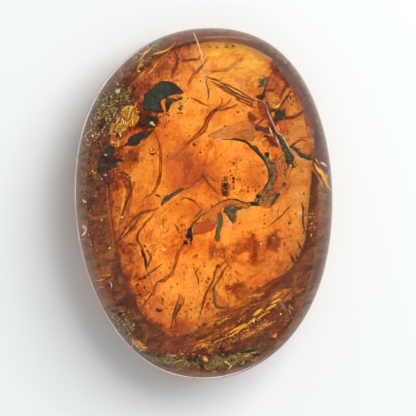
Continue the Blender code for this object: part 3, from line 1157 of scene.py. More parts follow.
# Red-brown roots, hairs and cracks that wander through the stone
def makeRoots():
    look = {
        "grain": 0.1, "stretch": (0.3, 1.4, 1),
        "body": [(0.25, (0.09, 0.028, 0.018)), (0.5, (0.32, 0.12, 0.075)), (0.8, (0.55, 0.29, 0.18))],
        "passes": ((0.95, 0.76, 0.64), (0.36, 0.1, 0.08)), "solid": (0, 0.5), "edgeWeight": 0.7,
        "edgePower": 6, "window": (0.3, 1.25),
    }
    threadLook = {
        "grain": 0.12, "contrast": 1.8, "stretch": (0.3, 1.4, 1),
        "body": [(0.2, (0.03, 0.007, 0.004)), (0.5, (0.1, 0.025, 0.012)), (0.8, (0.26, 0.09, 0.04))],
        "passes": ((0.72, 0.36, 0.26), (0.25, 0.06, 0.05)), "solid": (0.3, 0.9),
    }
    material = tissue("redRoot", look)
    threads = Piece("rootThreads", 40)
    upper = Piece("rootsUpper", 41)
    routes = [
        # the long pair that runs from the top middle to the knot
        ([(0.6, 12.2), (1.2, 11.9), (3.2, 10.7), (5, 9.9)],
         (0.06, 0.14, 0.2, 0.22, 0.24, 0.28, 0.22, 0.12, 0.2, 0.24, 0.1), 0.72),
        ([(0.8, 12.4), (1.3, 12.2), (1.8, 12), (3.2, 11.4), (5.2, 10.2)], (0.05, 0.12, 0.1), 0.7),
        ([(0.1, 12.7), (0.9, 12.4), (1.7, 12.3)], 0.1, 0.7),
        ([(1.5, 11.6), (2.3, 11.5), (3.9, 10.6), (4.7, 10.4)], (0.04, 0.08, 0.06), 0.68),
        ([(1.8, 12), (2.6, 11.4), (3.4, 10.9), (4.3, 10.5), (5, 10.2)], (0.08, 0.08, 0.12), 0.69),
        ([(3.1, 10.4), (4.6, 9.7), (5.2, 9.5)], (0.05, 0.08, 0.12, 0.16), 0.66),
        ([(4.7, 15.1), (3.6, 14.2), (2.9, 13.8), (2.4, 13.4), (1.4, 13.2), (0.5, 13.2)],
         (0.12, 0.3, 0.26, 0.3, 0.14, 0.06), 0.62),
        ([(0.4, 14.7), (0.1, 14.1), (-0.7, 13.1), (-1.1, 12.8), (-1.6, 11.7)],
         (0.07, 0.12, 0.16, 0.2, 0.2, 0.24, 0.1), 0.66),
        ([(-2.2, 14.2), (-1.4, 14.3), (-0.3, 14.4)], 0.2, 0.6),
        ([(-2.9, 15.2), (-2.6, 14.3), (-3.3, 12.4)], (0.12, 0.25, 0.3, 0.12), 0.5),
        # the forked root in the middle
        ([(2.8, 10.6), (2.4, 10), (1.5, 9.4), (0.9, 9.1), (0.4, 8.3), (-0.1, 7.3), (-1.4, 6.1), (-2.9, 4.6),
         (-3.8, 4.2)], (0.06, 0.25, 0.36, 0.49, 0.4, 0.27, 0.17, 0.06), 0.6),
        ([(1.9, 10.4), (1.6, 9.7), (1.1, 9.3), (0.6, 8.9), (0.2, 8.2)], 0.2, 0.63),
        ([(3.5, 9.9), (2.9, 9.6), (1.5, 9.2)], (0.06, 0.14, 0.16, 0.12), 0.64),
        ([(-1.4, 10.6), (-0.4, 10.1), (0.6, 9.6)], 0.14, 0.65),
        ([(0.2, 12.3), (0.5, 11), (0.3, 10.2)], 0.08, 0.5),
    ]
    addRoots(upper, threads, routes, 2, (0.3, 0.9))
    addHairs(threads, routes[0][0], 8, (0.4, 1.6), 0.05, 0.7)
    upper.done(material)
    left = Piece("rootsLeft", 43)
    routes = [
        ([(-4.8, 6.8), (-4.5, 6), (-4.3, 5), (-4.4, 2.6), (-5.1, 1), (-5.9, 0.5), (-6.2, 0)],
         (0.1, 0.24, 0.28, 0.25, 0.19, 0.1), 0.64),
        ([(-4.4, -0.4), (-5, -0.7), (-6.4, -1.1), (-7.6, -2.3), (-8.6, -3.9)],
         (0.14, 0.24, 0.21, 0.21, 0.34), 0.6),
        ([(-6, -0.6), (-6.6, -1.6), (-7.4, -2.8), (-8.4, -3.7)], (0.08, 0.16, 0.16, 0.12), 0.55),
        ([(-4.9, -0.9), (-5.5, -1.7), (-6.5, -2.9), (-6.6, -3.8), (-6.2, -4.4), (-5.8, -5.9)],
         (0.1, 0.23, 0.21, 0.08), 0.68),
        ([(-6.6, -4.2), (-7.1, -4.2), (-7.6, -4.1)], (0.18, 0.22, 0.08), 0.7),
        ([(-5.6, -4.8), (-5.3, -5.5), (-5.5, -6.1), (-5.8, -6.7)], (0.1, 0.2, 0.2, 0.1), 0.7),
        ([(-8.6, -3.8), (-8.8, -4.6), (-8.5, -6.6), (-7.6, -7.6)], (0.36, 0.4, 0.3, 0.2, 0.1), 0.5),
        ([(-8, 2.6), (-7.5, 2.2), (-7.3, 1.6), (-7.4, 0.8), (-7.8, 0), (-8, -0.8), (-8.2, -1.4)],
         (0.14, 0.3, 0.26, 0.12), 0.7),
        ([(-3.2, 0.9), (-2.6, 1.2), (-1.9, 1.6)], 0.16, 0.8),
        ([(-2.3, 0.2), (-1.9, 0.5), (-1, 0.2), (-0.4, -0.5)], (0.05, 0.09, 0.08, 0.05), 0.6),
        ([(-0.4, 3), (0.3, 2.2), (1.6, 0.7)], (0.08, 0.18, 0.16, 0.06), 0.4),
        ([(0.2, 3.1), (0.8, 2.5), (1.5, 2)], 0.1, 0.45),
    ]
    addRoots(left, threads, routes, 3, (0.3, 1))
    addStrays(left, oval(-6.2, -1, 4.9, 3.1, 1.5), 44, (0.4, 1.9), (0.04, 0.12), (0.5, 0.8), (0.5, 1.7))
    left.done(material)
    lower = Piece("rootsLower", 47)
    routes = [
        ([(-1.4, -3.4), (-2.5, -4.9), (-2.8, -6), (-3.2, -7), (-3.9, -7.7), (-4.6, -7.9), (-4.9, -8.6),
         (-5.6, -9.7), (-6.3, -10.5)], (0.2, 0.3, 0.2, 0.08), 0.62),
        ([(-4, -6), (-5.8, -7.3), (-6.9, -7.9)], 0.16, 0.6),
        ([(2.4, -5.5), (1.9, -6.1), (1.3, -6.6), (1, -7.5), (0.7, -8.3), (0.2, -9), (-0.1, -10.2),
         (-0.5, -11.8)], (0.06, 0.15, 0.15, 0.06), 0.62),
        ([(2.9, -5.9), (2.1, -6.6), (1.2, -8.2), (0.5, -8.9)], 0.12, 0.6),
        ([(-2.4, -9.1), (-2.5, -9.7), (-3, -11.1), (-3.3, -12.7)], (0.06, 0.12, 0.1), 0.7),
        ([(-2, -9.2), (-2, -9.9), (-2.7, -11), (-2.8, -11.8), (-2.5, -12.7)], 0.14, 0.7),
        ([(9.3, -3.7), (9.7, -4.5), (10, -5.1)], 0.16, 0.6),
        ([(8.6, -4.9), (8.9, -5.7), (9.2, -6.3)], 0.22, 0.6),
        ([(9.1, -5), (9.3, -5.5), (9.5, -6)], 0.12, 0.62),
        ([(8.9, 0), (7.7, -1.3), (7, -1.9), (6.3, -2.6)], 0.08, 0.5),
        ([(9.7, 0.1), (10, -0.6), (9.9, -1.4), (10, -2.4), (10.3, -3.3)], (0.08, 0.2, 0.14, 0.16, 0.06),
         0.72),
        ([(10.6, -5.9), (9.6, -6.7), (8.6, -7.3), (7.3, -7.7), (4.6, -9.2)], (0.1, 0.37, 0.37, 0.1), 0.4),
        ([(-7.3, -8.9), (-6.9, -9.7), (-6.8, -10.6), (-6.9, -11.2)], (0.1, 0.26, 0.3, 0.14), 0.6),
        ([(-8.9, -9.2), (-8, -9.9), (-7.2, -10.9), (-6.7, -11.7)], (0.1, 0.3, 0.3, 0.1), 0.4),
    ]
    addRoots(lower, threads, routes, 3, (0.3, 1.1))
    addSheet(lower, [(-2.4, -9.1), (-2, -9.9), (-2.7, -11), (-2.8, -11.8), (-2.5, -12.9), (-3, -13.4),
        (-3.3, -13.1), (-3.1, -11.2)], 0.7, 0.13, 0.25, lie=1.3, ragged=0.05)
    addStrays(lower, oval(1.3, -7.5, 8.3, 3.8, 0.3), 44, (0.4, 1.8), (0.04, 0.1), (0.4, 0.8), (0.4, 2.4))
    addStrays(lower, oval(2.1, 2.6, 3.9, 2.6), 18, (0.4, 1.4), (0.03, 0.07), (0.3, 0.8))
    addStrays(lower, oval(0.2, 14.4, 4.9, 1.5), 26, (0.4, 2), (0.04, 0.1), (0.3, 0.7), (0.2, 1.4))
    addStrays(threads, oval(1.3, -7.5, 8.3, 3.8, 0.3), 34, (0.3, 1.4), (0.03, 0.07), (0.4, 0.9), (0.4, 2.4))
    addStrays(threads, oval(-6.2, -1, 4.9, 3.1, 1.5), 26, (0.3, 1.4), (0.03, 0.08), (0.5, 0.9), (0.5, 1.9))
    addStrays(threads, oval(3.2, 10, 10.1, 4.4, -0.7), 22, (0.3, 1.2), (0.03, 0.06), (0.4, 0.9))
    addStrays(lower, oval(8.4, 0.4, 3.6, 2.1, 1.3), 20, (0.4, 1.6), (0.03, 0.08), (0.4, 0.8), (0.3, 2.2))
    lower.done(material)
    threads.done(tissue("darkThread", threadLook))


# Dark twigs, lenses and specks
def makeTwigs():
    look = {
        "grain": 0.09, "stretch": (0.3, 1.3, 1),
        "body": [(0.3, (0.012, 0.006, 0.003)), (0.52, (0.045, 0.022, 0.01)), (0.7, (0.12, 0.07, 0.03))],
        "passes": ((0.5, 0.2, 0.08), (0.2, 0.05, 0.02)), "solid": (0.6, 1),
    }
    material = tissue("darkTwig", look)
    twigs = Piece("darkTwigs", 53)
    routes = [
        ([(-6.3, -4.6), (-6, -5.2), (-5.8, -5.9), (-5.8, -6.7)], (0.12, 0.34, 0.3, 0.08), 0.72),
        ([(-1, -6.3), (-0.8, -7), (-0.5, -7.8), (-0.6, -8.2)], (0.05, 0.14, 0.16, 0.08), 0.7),
        ([(-4.9, 0.8), (-4.5, 0.7), (-4.3, 0.55)], 0.26, 0.8),
        ([(8.75, 0.6), (8.65, 0.35)], (0.12, 0.1), 0.85),
        ([(9.8, 0.1), (9.9, -0.5), (9.9, -0.9)], 0.16, 0.8),
        ([(-0.15, -12.2), (0.1, -12.15), (0.35, -11.8)], 0.34, 0.82),
        ([(-0.7, -12.2), (-0.2, -12.7), (0.2, -13.1)], 0.18, 0.8),
        ([(-6.55, -9.05), (-6.4, -9.1), (-6.3, -9.05)], 0.24, 0.7),
        ([(-4.2, -9.4), (-4.1, -9.7), (-4, -9.9)], 0.2, 0.7),
        ([(-4.8, -10.5), (-4.5, -10.8), (-4.1, -10.7)], 0.3, 0.72),
        ([(3.6, -15), (4.6, -14.8), (5.5, -14.6)], 0.34, 0.85),
        ([(5.2, -12.3), (5.8, -12.9), (6.3, -13.5)], (0.16, 0.3, 0.3), 0.8),
        ([(1.55, 15.6), (1.4, 15.5), (1.2, 15.65)], 0.12, 0.8),
        ([(-6.9, 11.6), (-6.6, 11.55)], (0.08, 0.2), 0.8), ([(-9.9, 8), (-10.3, 8.05)], (0.2, 0.3), 0.7),
        ([(-0.5, 5.05), (-0.3, 5.1), (-0.2, 4.95)], 0.22, 0.8),
        ([(-5.4, 4.9), (-5.1, 4.85), (-4.8, 5)], 0.26, 0.75),
        ([(-1.1, 6.1), (-0.9, 5.8), (-0.95, 5.6)], 0.22, 0.7),
    ]
    addStrands(twigs, routes, sides=6)
    twigs.done(material)
    specks = Piece("darkSpecks", 59)
    whole = [(x * 0.9, y * 0.9) for x, y in planOutline(24)]
    addCrumbs(specks, whole, 190, (0.06, 0.2), (0.15, 0.9))
    addCrumbs(specks, oval(3.4, 3.1, 2.7, 2.4), 14, (0.06, 0.15), (0.3, 0.9))
    addCrumbs(specks, oval(-1, -8.6, 5, 3.2), 60, (0.07, 0.2), (0.3, 0.9))
    addCrumbs(specks, oval(-6, -8.2, 1.6, 0.8, -1.6), 24, (0.1, 0.34), (0.5, 0.9))
    addGrains(specks, [(2.3, 15.6, 0.3), (3, 15.7, 0.32), (0.6, 15.6, 0.22), (-0.1, 14.7, 0.2),
        (-0.3, 12.2, 0.2), (3, 2.4, 0.3), (3, 2.1, 0.28), (-5.3, 4.9, 0.24), (-4.8, 5, 0.2),
        (-2.7, -0.1, 0.22), (-2.2, -1.4, 0.2), (8.6, -2, 0.28), (-5.9, -4.3, 0.3), (-5.6, -4.8, 0.28),
        (-0.7, -6.8, 0.2), (-0.3, -7, 0.2), (-1.8, -6.2, 0.18), (-1.8, -7.7, 0.18), (-0.2, -7.8, 0.2),
        (0.4, -7.5, 0.18), (8, -11.1, 0.26)], 0.82, 1.3)
    spots = Piece("rustySpots", 62)
    addCrumbs(spots, whole, 150, (0.12, 0.34), (0.2, 0.9), (1, 1.5))
    addCrumbs(spots, oval(4, 2.6, 2.3, 1.9, 1), 34, (0.16, 0.34), (0.3, 0.9), (1, 1.4))
    addCrumbs(spots, oval(-0.6, -8.5, 5.8, 3.4, 0.2), 80, (0.12, 0.34), (0.3, 0.9), (1, 1.6))
    addCrumbs(spots, oval(2.1, 1.8, 0.9, 0.4, 1.5), 40, (0.1, 0.3), (0.84, 0.93))
    addCrumbs(spots, oval(2.9, -8.9, 0.9, 0.7, -1.5), 12, (0.2, 0.6), (0.7, 0.85), (1, 1.6))
    addCrumbs(specks, oval(2.2, 1.7, 1, 0.3, 1.5), 44, (0.07, 0.24), (0.86, 0.93))
    spotLook = {
        "grain": 0.12, "vary": 1,
        "body": [(0.2, (0.12, 0.035, 0.012)), (0.5, (0.32, 0.11, 0.035)), (0.8, (0.55, 0.25, 0.09))],
        "passes": ((0.97, 0.86, 0.76), (0.7, 0.42, 0.3)), "solid": (0, 0.3), "window": (0.1, 0.9),
    }
    specks.done(material)
    spots.done(tissue("rustySpot", spotLook))


# Small gas bubbles, which look like dark rings with a bright eye
def makeBubbles():
    look = {
        "size": (0.09, 0.26),
        "levels": (0.3, 0.88),
        "count": 190,
        "dullness": 0.06,
    }
    material, tree, shader = nodeMaterial("gasBubble")
    shader.inputs["Base Color"].default_value = (1, 1, 1, 1)
    shader.inputs["Transmission Weight"].default_value = 1
    shader.inputs["IOR"].default_value = 1 / amberLook["ior"]
    tree.links.new(scaled(tree, grain(tree, 0.2), 0.3, 0.7, 0, look["dullness"]), shader.inputs["Roughness"])
    bubbles = Piece("bubbles", 67)
    dice = bubbles.dice
    outline = [Vector((x * 0.86, y * 0.88)) for x, y in planOutline(24)]
    places = [(-5.1, -4.3, 0.36), (6, 3.1, 0.4), (-3.9, -1.4, 0.3), (-4, 2, 0.3), (-3.7, 1.6, 0.24),
        (6.1, -1.2, 0.22), (-8.2, -1.3, 0.3), (1.9, 10, 0.2), (2.9, 3.9, 0.3), (5.3, 2.3, 0.3),
        (3.7, 4.3, 0.34), (4.9, 1.9, 0.26), (3.9, 1.3, 0.34), (1.6, 0.3, 0.3), (-0.6, -6.6, 0.3)]
    small, large = look["size"]
    while len(places) < look["count"]:
        x, y = dice.uniform(-11, 11), dice.uniform(-15, 15)
        if inOutline(x, y, outline):
            places.append((x, y, small + (large - small) * dice.random() ** 2))
    for x, y, across in places:
        middle = see(x, y, dice.uniform(*look["levels"]))
        made = bmesh.ops.create_icosphere(bubbles.bm, subdivisions=2, radius=0.5 * across * mm)["verts"]
        for vert in made:
            vert[bubbles.flow] = vert.co / mm
            vert.co = vert.co + middle
    bubbles.done(material)


makeRoots()
makeTwigs()
makeBubbles()
print("roots and twigs made")


# Painted shade: a dark sheet with a dusty grain over the rim outside the flat base. It is densest where the
# line of sight runs through the sloping back, and turns a lighter brown toward the outline.
def makeRimShade():
    look = {
        "body": [(0.18, (0.022, 0.006, 0.003)), (0.4, (0.1, 0.027, 0.009)), (0.56, (0.205, 0.06, 0.018)),
            (0.8, (0.38, 0.15, 0.048))],
        "outer": (0.23, 0.128, 0.056),
        "crumb": (0.55, 0.33, 0.13),
        "level": 0.8,
        "inset": 0.994,
        "soften": 0.5,  # mm that the painted shade reaches in over the border of the flat base
        "full": 0.6,  # height of the back, mm, where the painted shade is densest
        # share of painted shade at twelve places around the rim, from the right side over the top
        "around": (0.97, 0.97, 0.95, 0.8, 0.9, 0.97, 0.97, 0.97, 0.9, 0.7, 0.6, 0.85),
    }
    material, tree, shader = nodeMaterial("rimPaintedShade")
    shader.inputs["IOR"].default_value = embeddedIor
    tint = stored(tree, "tint")
    edge = stored(tree, "edge")
    fine = grain(tree, 0.12, (0.7, 1.2, 1), 6, 0.6)
    coarse = grain(tree, 1.3, (0.8, 1.2, 1), 6, 1)
    crumbs = scaled(tree, grain(tree, 0.13, (1, 1, 1), 2, 0.3), 0.64, 0.74)
    mixed = plus(tree, times(tree, fine, 0.4), times(tree, coarse, 0.6))
    strong = scaled(tree, mixed, 0.22, 0.78)
    # the sheet turns a lighter brown toward the outline
    outer = times(tree, sums(tree, "POWER", edge, 2), 0.75)
    body = blend(tree, outer, ramp(tree, strong, look["body"]), look["outer"])
    tree.links.new(blend(tree, crumbs, body, look["crumb"]), shader.inputs["Base Color"])
    tree.links.new(scaled(tree, fine, 0.3, 0.7, 0.5, 0.9), shader.inputs["Roughness"])
    bump = node(tree, "Bump", {"Height": fine, "Strength": 0.6, "Distance": 0.00005})
    tree.links.new(bump.outputs["Normal"], shader.inputs["Normal"])
    solid = times(tree, tint, scaled(tree, mixed, 0.36, 0.56, 0.45, 1), True)
    mixClear(tree, shader, solid, blend(tree, tint, (1, 1, 1), (0.72, 0.5, 0.4)))
    sheet = Piece("rimPaintedShade", 61)
    outline = [(x * look["inset"], y * look["inset"]) for x, y in planOutline(90)]
    shadeAround = look["around"] + look["around"][:1]
    corners = [Vector(p) for p in outline]

    def rimShare(x, y):
        # 0 more than a millimetre inside the outline, 1 at the outline
        return smoothStep(1.5 - 1.5 * min((x - p.x) ** 2 + (y - p.y) ** 2 for p in corners) ** 0.5)

    def backHeight(x, y):
        return sightLine(x, y)[1].z / mm

    # painted shade: strongest where the back under the line of sight is high, that is where one looks
    # through the sloping back rather than the flat base
    def strengthAt(x, y):
        around = ((0, 0), (1, 0), (-1, 0), (0, 1), (0, -1))
        near = [backHeight(x + look["soften"] * a, y + look["soften"] * b) for a, b in around]
        share = smoothStep(sum(near) / len(near) / look["full"])
        return max(share * spread(shadeAround, atan2(y, x) / (2 * pi) % 1), rimShare(x, y))

    addSheet(sheet, outline, look["level"], 0.3, 2.2, 0.4, lie=0.45, tintAt=strengthAt)
    bare = [v for v in sheet.bm.verts if all(w[sheet.tint] < 0.01 for f in v.link_faces for w in f.verts)]
    bmesh.ops.delete(sheet.bm, geom=bare, context="VERTS")
    sheet.done(material)


# The layered foot: streaky skins that run up to the right, as the last pours left them
def makeFoot():
    streaky = {
        "grain": 0.13, "contrast": 1.8, "stretch": (0.35, 1.3, 1),
        "body": [(0.15, (0.07, 0.017, 0.006)), (0.42, (0.25, 0.065, 0.022)), (0.64, (0.5, 0.17, 0.05)),
            (0.9, (0.85, 0.42, 0.1))],
        "passes": ((1, 0.88, 0.74), (0.5, 0.18, 0.12)), "solid": (0.05, 0.6), "edgeWeight": -0.3,
        "window": (0.1, 0.8),
    }
    layers = Piece("footLayers", 63)
    slope = 0.43
    # left end, length, middle width and share of the way up
    strips = [(-1.4, -13.5, 6.2, 2.2, 0.84), (0.1, -12.3, 6, 1.6, 0.88), (1.8, -13.5, 6.2, 2, 0.86),
        (3.2, -11.5, 4.6, 1.6, 0.9), (1, -14.7, 6, 1.8, 0.82), (4.6, -12.7, 4.6, 1.8, 0.86),
        (-2.4, -14.7, 6, 2, 0.82), (4.2, -14.3, 4.4, 1.6, 0.85), (2.8, -10.1, 4, 1.2, 0.84),
        (5.8, -10.3, 3.6, 1.4, 0.86), (-4.6, -13.7, 4.4, 1.6, 0.8), (6.6, -11.9, 3, 1.4, 0.88)]
    for startX, startY, reach, wide, level in strips:
        rise = slope + layers.dice.uniform(-0.1, 0.1)
        middleX, middleY = cos(rise), sin(rise)
        points = []
        for along, across in ((0, 0), (0.3, 0.42), (0.65, 0.5), (1, 0.1), (0.75, -0.4), (0.35, -0.5)):
            points.append((startX + middleX * along * reach - middleY * across * wide,
                startY + middleY * along * reach + middleX * across * wide))
        addSheet(layers, points, level, 0.16, 0.5, 0.25, lie=rise, ragged=0.25)
    layers.done(tissue("footLayer", streaky))


# Mossy litter at the left and the foot, with its golden and dark grains
def makeMoss():
    moss = {
        "grain": 0.07, "contrast": 1.8, "vary": 1,
        "body": [(0.02, (0.025, 0.017, 0.006)), (0.28, (0.155, 0.112, 0.038)), (0.5, (0.34, 0.24, 0.078)),
            (0.78, (0.6, 0.44, 0.15)), (1, (0.8, 0.66, 0.32))],
        "passes": ((0.9, 0.65, 0.4), (0.6, 0.3, 0.12)), "solid": (0.6, 1),
    }
    bed = {
        "grain": 0.07, "contrast": 2.6,
        "body": [(0.15, (0.03, 0.018, 0.006)), (0.45, (0.14, 0.095, 0.028)), (0.7, (0.3, 0.215, 0.07)),
            (0.9, (0.5, 0.39, 0.16))],
        "passes": ((0.95, 0.75, 0.5), (0.5, 0.28, 0.14)), "solid": (0.1, 1), "fades": True,
        "window": (0.1, 0.6),
    }
    dull = {
        "grain": 0.08, "vary": 1,
        "body": [(0.05, (0.014, 0.009, 0.003)), (0.5, (0.12, 0.07, 0.02)), (0.95, (0.42, 0.28, 0.085))],
        "passes": ((0.9, 0.65, 0.4), (0.6, 0.3, 0.12)), "solid": (0.5, 1),
    }
    yellow = {
        "grain": 0.09, "vary": 0.7,
        "body": [(0.1, (0.34, 0.08, 0.01)), (0.34, (0.78, 0.32, 0.025)), (0.58, (1, 0.6, 0.07)),
            (0.95, (1, 0.84, 0.3))],
        "passes": ((1, 0.75, 0.35), (0.9, 0.45, 0.12)), "solid": (0.45, 0.95),
    }
    beds = Piece("mossBed", 72)
    sheets = [
        (oval(-9.2, 9.5, 2.8, 1.7, 1), 0.82),
        ([(-12.4, 5.3), (-10.8, 6.3), (-10, 5.1), (-10.5, 3.1), (-10.6, -0.1), (-11.2, -3.3), (-12, -4.1),
         (-12.7, 2.5)], 0.7),
        (oval(-7.8, -12, 1.5, 1.1, -1), 0.84),
        ([(-7.6, -14.1), (-4.4, -14.9), (-0.4, -15.2), (3.6, -14.6), (6.4, -13.4), (5.6, -15.5),
         (1.8, -16.9), (-2.4, -16.9), (-5.9, -15.9)], 0.84),
        ([(-7.6, 14.9), (-5.4, 16.5), (-3.2, 16.5), (-4.6, 14.7), (-7.8, 12.3)], 0.8),
        (oval(8.6, -11, 3, 0.7, 0.9), 0.8),
    ]
    addSheets(beds, sheets, 0.16, 0.6, lie=0.8, ragged=0.3)
    beds.done(tissue("mossBed", bed))
    mass = Piece("mossMass", 71)
    foot = [(-7.2, -14.5), (-4.4, -15.1), (3.6, -14.9), (6.4, -13.7), (5.8, -15.5), (1.6, -16.9),
        (-2.4, -16.7), (-5.9, -15.7)]
    heap = oval(-9.2, 9.4, 3.2, 1.8, 1)
    addLitter(mass, [
        # outline, how many, size, share of the way up, stretch
        (oval(-9.1, 9.5, 2.3, 1.4, 0.9), 260, (0.05, 0.26), (0.8, 0.955), (1, 3.4)),
        (heap, 150, (0.04, 0.2), (0.8, 0.94), (1, 3.4)),
        (oval(-10.9, 6.8, 1.5, 1.2, 1), 160, (0.05, 0.24), (0.7, 0.94), (1, 2.4)),
        (oval(-6.3, 14.6, 3.5, 1.1, 0.7), 150, (0.05, 0.18), (0.75, 0.93), (1, 2.6)),
        (oval(-8, -12, 1.4, 1.2, -0.8), 150, (0.05, 0.2), (0.8, 0.955), (1, 2.4)),
        (oval(-6.5, -14.3, 1.3, 0.5, -0.6), 70, (0.06, 0.26), (0.8, 0.95), (1, 2.6)),
        (foot, 120, (0.05, 0.2), (0.75, 0.95), (1, 3)),
        ([(-1.4, -12.7), (4.6, -12.2), (8.1, -8.7), (9.6, -9.7), (6.6, -13.7), (-0.4, -14.7)],
         110, (0.05, 0.14), (0.8, 0.93), (1, 2.6)),
    ])
    addStrays(mass, heap, 90, (0.2, 0.7), (0.05, 0.14), (0.85, 0.955), (0.2, 2.6))
    addStrays(mass, foot, 26, (0.2, 0.9), (0.05, 0.14), (0.85, 0.95), (-0.3, 0.8))
    mass.done(tissue("mossGrain", moss))
    gold = Piece("mossGold", 73)
    addSheet(gold, [(-7.7, 9.7), (-6.7, 9.1), (-6.6, 8.3), (-7.1, 7.7), (-8, 7.5), (-9.2, 6.7), (-9.4, 7.3),
        (-8.9, 8.2), (-7.9, 9.2)], 0.86, 0.12, 0.4, 0.2, ragged=0.25)
    addStrays(gold, oval(-7.8, 8.4, 1.7, 0.8, 1), 52, (0.3, 0.9), (0.08, 0.2), (0.93, 0.965), (0.5, 1.9))
    slope = oval(4.8, -11.8, 5.2, 0.9, 0.6)
    addLitter(gold, [
        (oval(-7.8, 8.4, 1.7, 0.8, 0.8), 80, (0.08, 0.34), (0.8, 0.95), (1.5, 6)),
        (oval(-9.7, 9.1, 1.4, 0.7, 0.8), 34, (0.08, 0.26), (0.85, 0.95), (1.2, 3)),
        (oval(-8.7, 6, 0.8, 0.4, 0.2), 24, (0.1, 0.34), (0.7, 0.9), (1.2, 3)),
        (oval(-11.1, 3.5, 1.2, 0.5, -1.5), 16, (0.06, 0.16), (0.8, 0.94), (1, 2)),
        (oval(10.9, -2.4, 1.8, 0.4, -1.4), 34, (0.07, 0.2), (0.8, 0.93), (1, 2.2)),
        (oval(-6.5, -14.2, 0.8, 0.4, -0.6), 40, (0.1, 0.34), (0.85, 0.95), (1.2, 3)),
        (oval(0.2, -15.4, 5.6, 0.9), 26, (0.06, 0.2), (0.85, 0.95), (1.2, 3)),
        (slope, 34, (0.05, 0.18), (0.85, 0.93), (1.5, 5)),
        (oval(-5.5, 15, 2.2, 1.2, 0.6), 50, (0.06, 0.22), (0.85, 0.94), (1.5, 4)),
    ])
    addGrains(gold, [(-5.2, 8, 0.34), (-5, 7.8, 0.24), (-11.1, 3.2, 0.24), (-10.9, 3, 0.2),
        (-12, 0.2, 0.3), (-11.8, 0.1, 0.24), (-10.2, -1.7, 0.22), (-9.4, -4.5, 0.24), (8.2, 14, 0.22),
        (2.2, -15.9, 0.26), (2.5, -16.1, 0.22), (2.7, -16.3, 0.2), (7.7, -11.1, 0.2)], 0.93, 1.4, 0.9)
    gold.done(tissue("yellowGrain", yellow))
    dark = Piece("mossDark", 75)
    addLitter(dark, [
        (oval(-11.8, 0.9, 6, 0.9, 1.6), 340, (0.05, 0.2), (0.7, 0.95), (1, 2)),
        (oval(-11.4, 3.9, 1.7, 0.8, -1.4), 90, (0.06, 0.22), (0.7, 0.94), (1, 2.6)),
        (oval(-11.2, -4.1, 1.4, 0.8, -1.4), 60, (0.05, 0.18), (0.8, 0.95), (1, 2.2)),
        (oval(-9.9, 1.4, 2.7, 0.8, -1.5), 70, (0.05, 0.16), (0.7, 0.9), (1, 2.2)),
        (oval(10.6, -3.1, 3, 1.2, 1.6), 90, (0.05, 0.2), (0.75, 0.93), (1, 2.4)),
        (oval(-8.9, 9.3, 2, 1.4, 0.8), 110, (0.08, 0.32), (0.85, 0.955), (1.2, 4)),
        (oval(-7.9, 8.5, 1.8, 0.9, 1), 40, (0.08, 0.24), (0.88, 0.955), (1.5, 5)),
        (oval(-8.6, 7, 0.8, 0.6), 26, (0.1, 0.3), (0.85, 0.94), (1, 3)),
        (oval(0.3, -15.5, 5.6, 0.9), 90, (0.08, 0.32), (0.8, 0.93), (1, 3)),
        (slope, 60, (0.06, 0.2), (0.85, 0.93), (1.2, 4)),
        (oval(-8, -12, 1.4, 1.2, -0.8), 60, (0.08, 0.3), (0.8, 0.93), (1, 3)),
    ])
    for x, y, size, stretch in ((-10.2, 8.1, 0.75, 1.4), (-8.6, 6.8, 0.5, 2.2), (-8.2, 7.1, 0.35, 1.6),
            (-9.4, 6.8, 0.34, 1.5), (-8.3, 6.6, 0.4, 2), (-7, 11.5, 0.45, 2), (-7.2, 10.6, 0.5, 2.2),
            (-9.9, 5.9, 0.35, 1.4), (-12.3, 4.3, 0.16, 1), (-10.6, 1.4, 0.4, 1.6), (-10.8, 0.6, 0.3, 1.3),
            (-11.5, -0.6, 0.3, 1.5), (-11.2, -0.8, 0.34, 1.4), (-9, -10.8, 0.5, 2.6),
            (-8.3, -11.1, 0.42, 2.2), (-1, -15.6, 0.9, 1.8), (-0.2, -16.2, 0.7, 2.2), (2, -14.8, 0.8, 2),
            (-5.6, -15, 0.5, 2.2), (-3.8, -16.2, 0.6, 2.4), (5.2, -15.2, 0.5, 2.2)):
        addGrain(dark, x, y, 0.88, size, stretch, tint=0.1)
    dark.done(tissue("dullGrain", dull))
